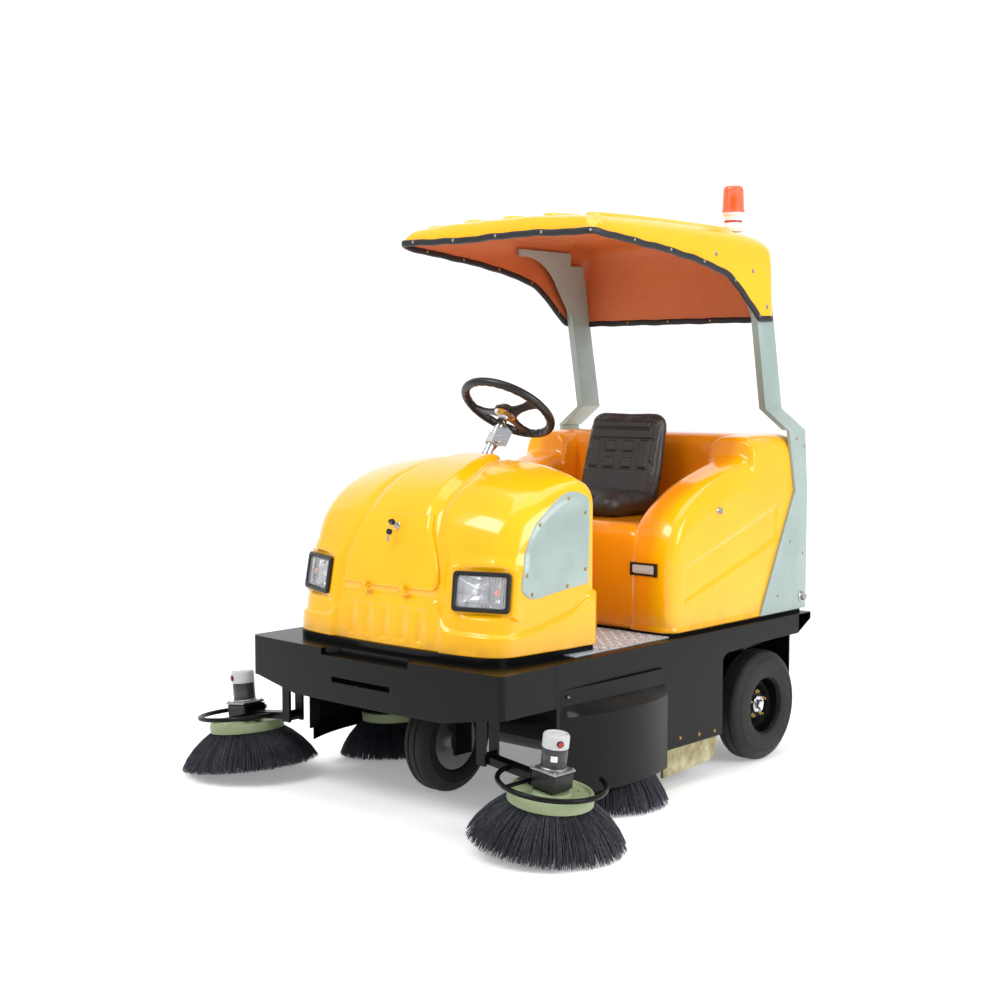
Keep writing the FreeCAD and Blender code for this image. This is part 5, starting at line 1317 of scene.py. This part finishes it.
def make_brush(node, place, tip, count, seed):
    """Filaments, the core they grow from and the pale hub over them."""
    grown = BRISTLES.grow(node + "_bristles", BRISTLE, node, place=place, slot=slot_of(node), Count=count, Root=0.124,
                          Tip=tip, Height=0.128, Bell=0.42, Thickness=0.00125, Seed=seed)
    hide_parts(node)
    core, hub, pins = Parts(), Parts(), []
    core.lathe([(0.030, 0.124), (0.104, 0.124), (0.118, 0.108), (tip * 0.70, 0.060), (tip * 0.80, 0.022),
                (tip * 0.76, 0.014), (0.100, 0.070), (0.030, 0.100)], *UPRIGHT, 64, closed=True)
    hub.lathe([(0.020, 0.122), (0.126, 0.120), (0.1325, 0.124), (0.1330, 0.150), (0.1305, 0.1555), (0.1220, 0.1560),
               (0.1160, 0.1490), (0.0640, 0.1480), (0.0560, 0.1560), (0.0200, 0.1560)], *UPRIGHT, 72, closed=True)
    for k in range(6):
        a = math.tau * k / 6
        pins.append(((0.092 * math.cos(a), 0.092 * math.sin(a), 0.1484), (0, 0, 1)))
    for parts, name, finish in ((core, "_core", BROOM), (hub, "_hub", HUB_GREEN)):
        parts.placed(place).build(node + name, finish, node, smooth=35)
    studs(node + "_hub_screws", STEEL, carried(pins, place), 0.006, 0.004, node)


def make_motor(side, sign):
    """Geared motor on the front brush arm, in the brush's own tilted frame."""
    place = brush_place(*FRONT_BRUSH, sign)
    node, body = f"front_brush_motor_{side}", f"front_brush_arm_{side}"
    box, light, can, cap, label, plug = (Parts() for _ in range(6))
    box.slab((-0.046, -0.046, 0.1645), (0.046, 0.046, 0.217), 0.003)
    box.slab((-0.040, -0.040, 0.1600), (0.040, 0.040, 0.1645), 0.001)
    light.slab((-0.049, -0.049, 0.2175), (0.049, 0.049, 0.2255), 0.0015)
    light.lathe([(0.0415, 0.2255), (0.0415, 0.2300), (0.0395, 0.2320), (0, 0.2320)], *UPRIGHT, 40)
    can.lathe([(0.0385, 0.2320), (0.0395, 0.2335), (0.0395, 0.2900), (0.0385, 0.2915), (0, 0.2915)], *UPRIGHT, 48)
    cap.lathe([(0.0395, 0.2915), (0.0408, 0.2930), (0.0408, 0.3280), (0.0385, 0.3325), (0.0340, 0.3340),
               (0.0300, 0.3340), (0.0280, 0.3325), (0.0140, 0.3325), (0.0125, 0.3345), (0, 0.3345)],
              *UPRIGHT, 48)
    angle = math.radians(-52 if sign > 0 else -128)
    middle, high, wide = 0.2640, 0.018, 0.021
    sweep = np.linspace(angle - wide / 0.08, angle + wide / 0.08, 7)
    label.rings([np.stack([radius * np.cos(sweep), radius * np.sin(sweep), np.full(7, z)], 1)
                 for radius, z in ((0.0394, middle - high / 2), (0.0401, middle - high / 2),
                                   (0.0401, middle + high / 2), (0.0394, middle + high / 2))],
                closed=False, caps=False)
    spot = np.array((0.0405 * math.cos(angle + 0.35), 0.0405 * math.sin(angle + 0.35), 0.3120))
    facing = (math.cos(angle + 0.35), math.sin(angle + 0.35), 0)
    plug.lathe([(0.0105, -0.001), (0.0105, 0.0030), (0.0090, 0.0040), (0.0090, 0.0030), (0, 0.0030)], spot, facing, 24)
    plug.lathe([(0.0075, 0.0032), (0.0070, 0.0055), (0.0030, 0.0060), (0, 0.0055)], spot, facing, 16, finish=1)
    pins = [((x, y, 0.2255), (0, 0, 1)) for x in (-0.041, 0.041) for y in (-0.041, 0.041)]
    pins += [((0.0340 * math.cos(a), 0.0340 * math.sin(a), 0.3328), (0, 0, 1)) for a in (0.6, 0.6 + math.pi)]
    for parts, name, finish in ((box, "_gearbox", KNOB), (light, "_flange", CAST), (can, "_can", MOTOR_DARK),
                                (cap, "_cap", MOTOR_GREY), (label, "_label", WHITE), (plug, "_plug", [KNOB, RED])):
        parts.placed(place).build(node + name, finish, body, slot_of(node), 35)
    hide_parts(node)
    studs(node + "_screws", STEEL, carried(pins, place), 0.0045, 0.0042, body)


def make_brushes():
    """Front and middle disc brushes, left and right, each with a seed of its own."""
    seed = 11
    for side, sign in (("left", 1), ("right", -1)):
        make_brush(f"front_brush_{side}", brush_place(*FRONT_BRUSH, sign), 0.247, 3400, seed)
        make_brush(f"mid_brush_{side}", brush_place(*MID_BRUSH, sign), 0.224, 2600, seed + 7)
        make_motor(side, sign)
        seed += 31


# ---------------------------------------------------------------- steering wheel and column

COLUMN_HEAD, COLUMN_LEAN = np.array((0.0, -0.119, 1.314)), math.radians(35)
RIM_RADIUS, RIM_TUBE, GRIP_DEPTH, GRIPS = 0.1632, 0.0154, 0.0034, 30


def make_steering():
    """Three-spoke wheel with finger grips, its hub, and what is clipped to the column."""
    centre, lean = COLUMN_HEAD, COLUMN_LEAN
    axis = np.array((0, math.sin(lean), math.cos(lean)))
    east, north = np.array((1.0, 0, 0)), np.array((0, math.cos(lean), -math.sin(lean)))

    def at(angle, radius, lift=0.0):
        return centre + radius * (math.cos(angle) * east + math.sin(angle) * north) + lift * axis

    rim, spokes, hub, brass = Parts(), Parts(), Parts(), Parts()
    rings = []
    count = 216
    for k in range(count):
        a = math.tau * k / count
        grip = GRIP_DEPTH * max(0.0, math.cos(a * GRIPS)) ** 0.7
        along = at(a, 1.0) - centre
        ring = []
        for b in np.linspace(0, math.tau, 16, endpoint=False):
            inward = max(0.0, -math.cos(b))
            tube = RIM_TUBE - grip * inward
            ring.append(centre + along * (RIM_RADIUS + tube * math.cos(b)) + axis * tube * math.sin(b))
        rings.append(np.array(ring))
    rim.rings(rings + [rings[0]], caps=False)
    for degrees in (-12, 98, 175):
        a = math.radians(degrees)
        along = at(a, 1.0) - centre
        aside = np.cross(axis, along)
        rings = []
        for radius, wide, thick, lift in ((0.018, 0.030, 0.006, -0.020), (0.040, 0.026, 0.006, -0.019),
                                          (0.070, 0.018, 0.0055, -0.014), (0.105, 0.017, 0.0055, -0.008),
                                          (0.132, 0.022, 0.006, -0.002), (0.150, 0.030, 0.007, 0.0),
                                          (0.160, 0.036, 0.007, 0.0)):
            outline = round_rect(wide * 2, thick * 2, thick * 0.8, 4)
            rings.append(centre + along * radius + axis * lift + outline[:, :1] * aside + outline[:, 1:] * axis)
        spokes.rings(rings)
    spokes.lathe([(0, -0.027), (0.036, -0.027), (0.043, -0.022), (0.043, -0.014), (0.036, -0.009), (0.028, 0.001),
                  (0.020, 0.004), (0, 0.005)], centre, axis, 40)
    hub.lathe([(0, -0.046), (0.015, -0.046), (0.021, -0.040), (0.022, -0.034), (0.034, -0.030), (0.040, -0.0275),
               (0, -0.0270)], centre, axis, 40)
    brass.lathe([(0.0215, -0.0395), (0.0300, -0.0345), (0.0305, -0.0310), (0.0225, -0.0335)], centre, axis, 32,
                closed=True)
    wheel = rim.build("steering_rim", KNOB, "steering_wheel", slot_of("steering_wheel"), 60)
    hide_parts("steering_wheel")
    spokes.build("steering_spokes", KNOB, "steering_wheel", smooth=45)
    hub.build("steering_hub", CHROME, "steering_wheel")
    brass.build("steering_hub_ring", GOLD, "steering_wheel")
    clamp, wire, knob = Parts(), Parts(), Parts()
    turns = []
    for s in np.linspace(0.0, 1.0, 120):
        around = -0.6 + s * math.tau * 2.2
        spot = centre - axis * (0.060 + 0.175 * s)
        turns.append(spot + 0.0192 * (math.cos(around) * east + math.sin(around) * north))
    wire.pipe(turns, 0.0020, 8)
    wire.build("column_wire", GOLD)
    spot = centre - axis * 0.135
    clamp.lathe([(0.0180, -0.020), (0.0225, -0.020), (0.0235, -0.018), (0.0235, 0.018), (0.0225, 0.020),
                 (0.0180, 0.020)], spot, axis, 32, closed=True)
    clamp.slab(spot + (0.020, -0.012, -0.020), spot + (0.050, 0.012, 0.018), 0.002)
    clamp.build("column_clamp", MOTOR_GREY)
    top = march(np.array([[0.145, -0.215, 1.0]]), np.array([[0, 0, 1.0]]), hood_field, 0.3)[0]
    knob.lathe([(0, -0.004), (0.009, -0.004), (0.009, 0.004), (0.013, 0.010), (0.014, 0.018), (0.011, 0.023),
                (0, 0.025)], top, (0, 0, 1), 28)
    knob.build("hood_knob", KNOB)


# ---------------------------------------------------------------- beacon

def make_beacon():
    """White stand with a red band, ribbed amber lens and the bulb inside."""
    low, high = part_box("beacon_base")
    spot = (0.350, 0.770, 0)
    base, band, dome, lamp = Parts(), Parts(), Parts(), Parts()
    z0, z1 = low.z, high.z
    base.lathe([(0.0380, z0), (0.0390, z0 + 0.003), (0.0385, z0 + 0.020), (0.0330, z0 + 0.026), (0.0330, z1 - 0.016),
                (0.0385, z1 - 0.010), (0.0388, z1 - 0.001), (0, z1)], spot, (0, 0, 1), 48)
    band.lathe([(0.0332, z0 + 0.034), (0.0336, z0 + 0.035), (0.0336, z0 + 0.041), (0.0332, z0 + 0.042)], spot,
               (0, 0, 1), 48, closed=True)
    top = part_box("beacon_dome")[1].z
    profile = [(0.0415, z1), (0.0438, z1 + 0.001), (0.0438, z1 + 0.006), (0.0415, z1 + 0.008)]
    for k in range(18):
        z = z1 + 0.010 + k * 0.0040
        profile += [(0.0412 - 0.0035 * k / 18, z), (0.0422 - 0.0035 * k / 18, z + 0.0014)]
    profile += [(0.0360, top - 0.0070), (0.0320, top - 0.0025), (0.0230, top), (0, top)]
    dome.lathe(profile, spot, (0, 0, 1), 56)
    lamp.lathe([(0.012, z1 + 0.001), (0.012, z1 + 0.030), (0.015, z1 + 0.036), (0.015, z1 + 0.060), (0.008, z1 + 0.068),
                (0, z1 + 0.069)], spot, (0, 0, 1), 24)
    stand = base.build("beacon_stand", WHITE, slot=slot_of("beacon_base"))
    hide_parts("beacon_base")
    band.build("beacon_band", RED)
    lens = dome.build("beacon_lens", AMBER, slot=slot_of("beacon_dome"), smooth=50)
    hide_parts("beacon_dome")
    lamp.build("beacon_bulb", BULB)


# ---------------------------------------------------------------- seat

BACK_LEAN = math.radians(14)
BACK_FOOT = np.array((0, 0.527, 0.985))
BACK_UP = np.array((0, math.sin(BACK_LEAN), math.cos(BACK_LEAN)))
BACK_OUT = np.array((0, -math.cos(BACK_LEAN), math.sin(BACK_LEAN)))


def back_to_world(local):
    """Backrest's own frame: across, forward out of it, and up it."""
    return BACK_FOOT + local[:, :1] * (1, 0, 0) + local[:, 1:2] * BACK_OUT + local[:, 2:] * BACK_UP


def world_to_back(points):
    away = np.asarray(points) - BACK_FOOT
    return np.stack([away[:, 0], away @ BACK_OUT, away @ BACK_UP], 1)


def block(x, z, low, high, edge=0.008):
    """1 inside a rounded rectangle of the backrest's face, eased to 0 over its edge."""
    away = np.maximum(np.maximum(low[0] - x, x - high[0]), np.maximum(low[1] - z, z - high[1]))
    return 1 - ease(away, -edge, 0.0)


def back_relief(x, y, z):
    """Moulded channels and raised squares on the backrest's face."""
    front = ease(y, 0.012, 0.022)
    channel = 0.0
    for low, high in (((-0.140, 0.232), (0.140, 0.278)), ((-0.155, 0.075), (0.155, 0.205))):
        channel = np.maximum(channel, block(x, z, low, high, 0.006))
    raised = block(x, z, (-0.130, 0.241), (0.130, 0.269), 0.006)
    for cx in (-0.042, 0.042):
        for cz in (0.105, 0.170):
            raised = np.maximum(raised, block(x, z, (cx - 0.028, cz - 0.024), (cx + 0.028, cz + 0.024), 0.009))
    for cx in (-0.118, 0.118):
        raised = np.maximum(raised, block(x, z, (cx - 0.024, 0.082), (cx + 0.024, 0.197), 0.008))
    rim = np.exp(-((np.maximum(np.abs(x) - 0.172, z - 0.292)) / 0.0035) ** 2)
    return front * (raised * 0.0075 - channel * 0.0065 - rim * 0.004)


def cushion_relief(x, y, z):
    """Stitched channels across the cushion and the groove round its crown."""
    top = ease(z, 0.965, 0.975)
    lines = sum(np.exp(-((y - at) / 0.0035) ** 2) for at in (0.31, 0.36, 0.41)) * (np.abs(x) < 0.125)
    edge = np.exp(-((np.maximum(np.abs(x) - 0.135, np.abs(y - 0.36) - 0.090)) / 0.0035) ** 2)
    return -top * (lines * 0.005 + edge * 0.005)


def stuff(pad, cap):
    """Blows the pad up as cloth under pressure, each point held to the cap, and keeps the result."""
    scene = bpy.context.scene
    remesh = pad.modifiers.new("even", "REMESH")
    remesh.mode, remesh.voxel_size = "VOXEL", 0.006
    cloth = pad.modifiers.new("stuffing", "CLOTH")
    cloth.settings.use_pressure = True
    cloth.settings.uniform_pressure_force = 4
    cloth.settings.effector_weights.gravity = 0
    cloth.settings.quality = 5
    scene.frame_set(1)
    graph = bpy.context.evaluated_depsgraph_get()
    start = np.array([v.co[:] for v in pad.evaluated_get(graph).data.vertices])
    for step in range(1, 21):
        scene.frame_set(step)
    swollen = bpy.data.meshes.new_from_object(pad.evaluated_get(bpy.context.evaluated_depsgraph_get()))
    moved = np.array([v.co[:] for v in swollen.vertices])
    step = moved - start
    size = np.linalg.norm(step, axis=1, keepdims=True)
    step *= np.minimum(1, cap / np.maximum(size, 1e-9))
    swollen.vertices.foreach_set("co", (start + step).ravel())
    pad.modifiers.clear()
    pad.data = swollen
    scene.frame_set(1)


def finish_pad(pad, relief, frame_of=None, limits=None):
    """One subdivision, then the moulded relief pressed in along the surface."""
    smooth = pad.modifiers.new("smooth", "SUBSURF")
    smooth.levels = smooth.render_levels = 1
    mesh = bpy.data.meshes.new_from_object(pad.evaluated_get(bpy.context.evaluated_depsgraph_get()))
    pad.modifiers.clear()
    pad.data = mesh
    points = np.array([v.co[:] for v in mesh.vertices])
    normal = np.array([v.normal[:] for v in mesh.vertices])
    local = frame_of(points) if frame_of else points
    points = points + normal * relief(*local.T)[:, None]
    if limits is not None:
        points = np.clip(points, *limits)
    mesh.vertices.foreach_set("co", points.ravel())
    mesh.materials.clear()
    mesh.materials.append(VINYL)
    mesh.shade_smooth()
    mesh.update()


def make_seat():
    """Cushion and backrest as stuffed pads on a pan."""
    plan = Outline(mirror_line(through([(0, 0.228), (0.12, 0.230), (0.178, 0.243), (0.202, 0.285), (0.206, 0.38),
                                        (0.204, 0.48), (0.184, 0.518), (0.10, 0.526), (0, 0.526)], 8)))
    face = Outline(mirror_line(through([(0, 0.319), (0.10, 0.318), (0.155, 0.308), (0.183, 0.272), (0.192, 0.18),
                                        (0.197, 0.06), (0.190, -0.040), (0.15, -0.062), (0, -0.064)], 8)))
    seat = Lattice([(-0.155, 0.155), (0.28, 0.48), (0.930, 0.955)], (44, 40, 5), ((8, 8), (8, 8), (5, 5)))
    crown = seat.wrap(lambda x, y, z: both(plan.at(np.abs(x), y), np.abs(z - 0.944) - 0.034 - 0.006 * (z > 0.944),
                                           0.045))
    cushion = piece("seat_cushion", crown, seat.quads, VINYL)
    rest = Lattice([(-0.145, 0.145), (-0.008, 0.008), (0.0, 0.265)], (44, 4, 40), ((8, 8), (5, 5), (8, 8)))
    local = rest.wrap(lambda x, y, z: both(face.at(np.abs(x), z), np.abs(y) - 0.030 - 0.05 * x * x, 0.042))
    back = piece("seat_backrest", back_to_world(local), rest.quads, VINYL)
    for pad in (cushion, back):
        tidy(pad, 180)
        stuff(pad, 0.012)
    finish_pad(cushion, cushion_relief, limits=((-0.225, 0.215, 0.9055), (0.225, 0.60, 1.0)))
    finish_pad(back, back_relief, world_to_back)
    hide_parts("seat")
    pan = Parts()
    pan.slab((-0.17, 0.27, 0.9040), (0.17, 0.49, 0.9120), 0.002)
    pan.build("seat_pan", BLACK)


# ---------------------------------------------------------------- tread plate and small iron

def make_tread():
    """Lozenges and screws of the tread plate."""
    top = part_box("step_plate")[1].z
    TREADS.grow("tread_lozenges", TREAD, place=Matrix.Translation((0, -0.078, top - 0.0001)), Width=1.02,
                Length=0.35, Across=47, Along=17, Lozenge=0.0085, Rise=0.0016)
    places = [((x, y, top), (0, 0, 1)) for x in (0.525, 0.30, 0.0, -0.30, -0.525) for y in (-0.245, 0.085)]
    studs("tread_plate_screws", STEEL, places, 0.007, 0.003)


def make_side_iron():
    """Screws over the rubber skirt, and those that hold the guards."""
    gold = [((0.587, y, z), (1, 0, 0)) for y, z in ((0.12, 0.176), (0.235, 0.170), (0.33, 0.166))]
    dark = [((0.5955, y, 0.415), (1, 0, 0)) for y in (-0.50, -0.03)]
    studs("skirt_screws", GOLD, gold, 0.0075, 0.004, both_sides=True)
    studs("guard_screws", STEEL, dark, 0.0055, 0.003, both_sides=True)


make_wheels()
make_brushes()
make_steering()
make_beacon()
make_seat()
make_tread()
make_side_iron()


# ---------------------------------------------------------------- studio

def studio():
    """White room, three soft lights, a floor that curves up behind, and the camera."""
    world = bpy.data.worlds.new("studio")
    bpy.context.scene.world = world
    world.use_nodes = True
    world.node_tree.nodes["Background"].inputs["Color"].default_value = (1, 1, 1, 1)
    world.node_tree.nodes["Background"].inputs["Strength"].default_value = 0.62
    bpy.context.scene.view_settings.view_transform = "Standard"

    def softbox(name, place, aim, width, height, power):
        light = bpy.data.lights.new(name, "AREA")
        light.shape = "RECTANGLE"
        light.size, light.size_y, light.energy = width, height, power
        holder = bpy.data.objects.new(name, light)
        holder.location = place
        holder.rotation_euler = (Vector(aim) - Vector(place)).to_track_quat("-Z", "Y").to_euler()
        bpy.context.scene.collection.objects.link(holder)

    softbox("key_light", (-1.0, -4.2, 5.6), (0, 0, 0.6), 3.0, 2.2, 190)
    softbox("fill_light", (6.0, 0.6, 3.2), (0, 0, 0.7), 3.0, 3.0, 190)
    softbox("top_light", (0.5, 0.5, 6.0), (0, 0, 1.0), 4.0, 4.0, 110)

    bm = bmesh.new()
    rows = []
    for x in (-14, 14):
        row = [bm.verts.new((x, -12, 0)), bm.verts.new((x, 6, 0))]
        for step in range(1, 13):
            angle = math.radians(7.5 * step)
            row.append(bm.verts.new((x, 6 + 4 * math.sin(angle), 4 - 4 * math.cos(angle))))
        row.append(bm.verts.new((x, 10, 14)))
        rows.append(row)
    for a in range(len(rows[0]) - 1):
        bm.faces.new((rows[0][a], rows[1][a], rows[1][a + 1], rows[0][a + 1]))
    mesh = bpy.data.meshes.new("studio_sweep")
    bm.to_mesh(mesh)
    bm.free()
    mesh.shade_smooth()
    sweep = bpy.data.objects.new("studio_sweep", mesh)
    sweep.rotation_euler = (0, 0, math.radians(41.92))
    bpy.context.scene.collection.objects.link(sweep)
    mesh.materials.append(floor_finish())

    camera = bpy.data.cameras.new("view")
    camera.lens, camera.sensor_width = 56.14, 36.0
    camera.clip_end = 60
    holder = bpy.data.objects.new("view", camera)
    holder.location = (3.6803, -4.2599, 1.4248)
    holder.rotation_euler = (math.radians(90 - 4.52), 0, math.radians(41.92))
    bpy.context.scene.collection.objects.link(holder)
    bpy.context.scene.camera = holder


studio()
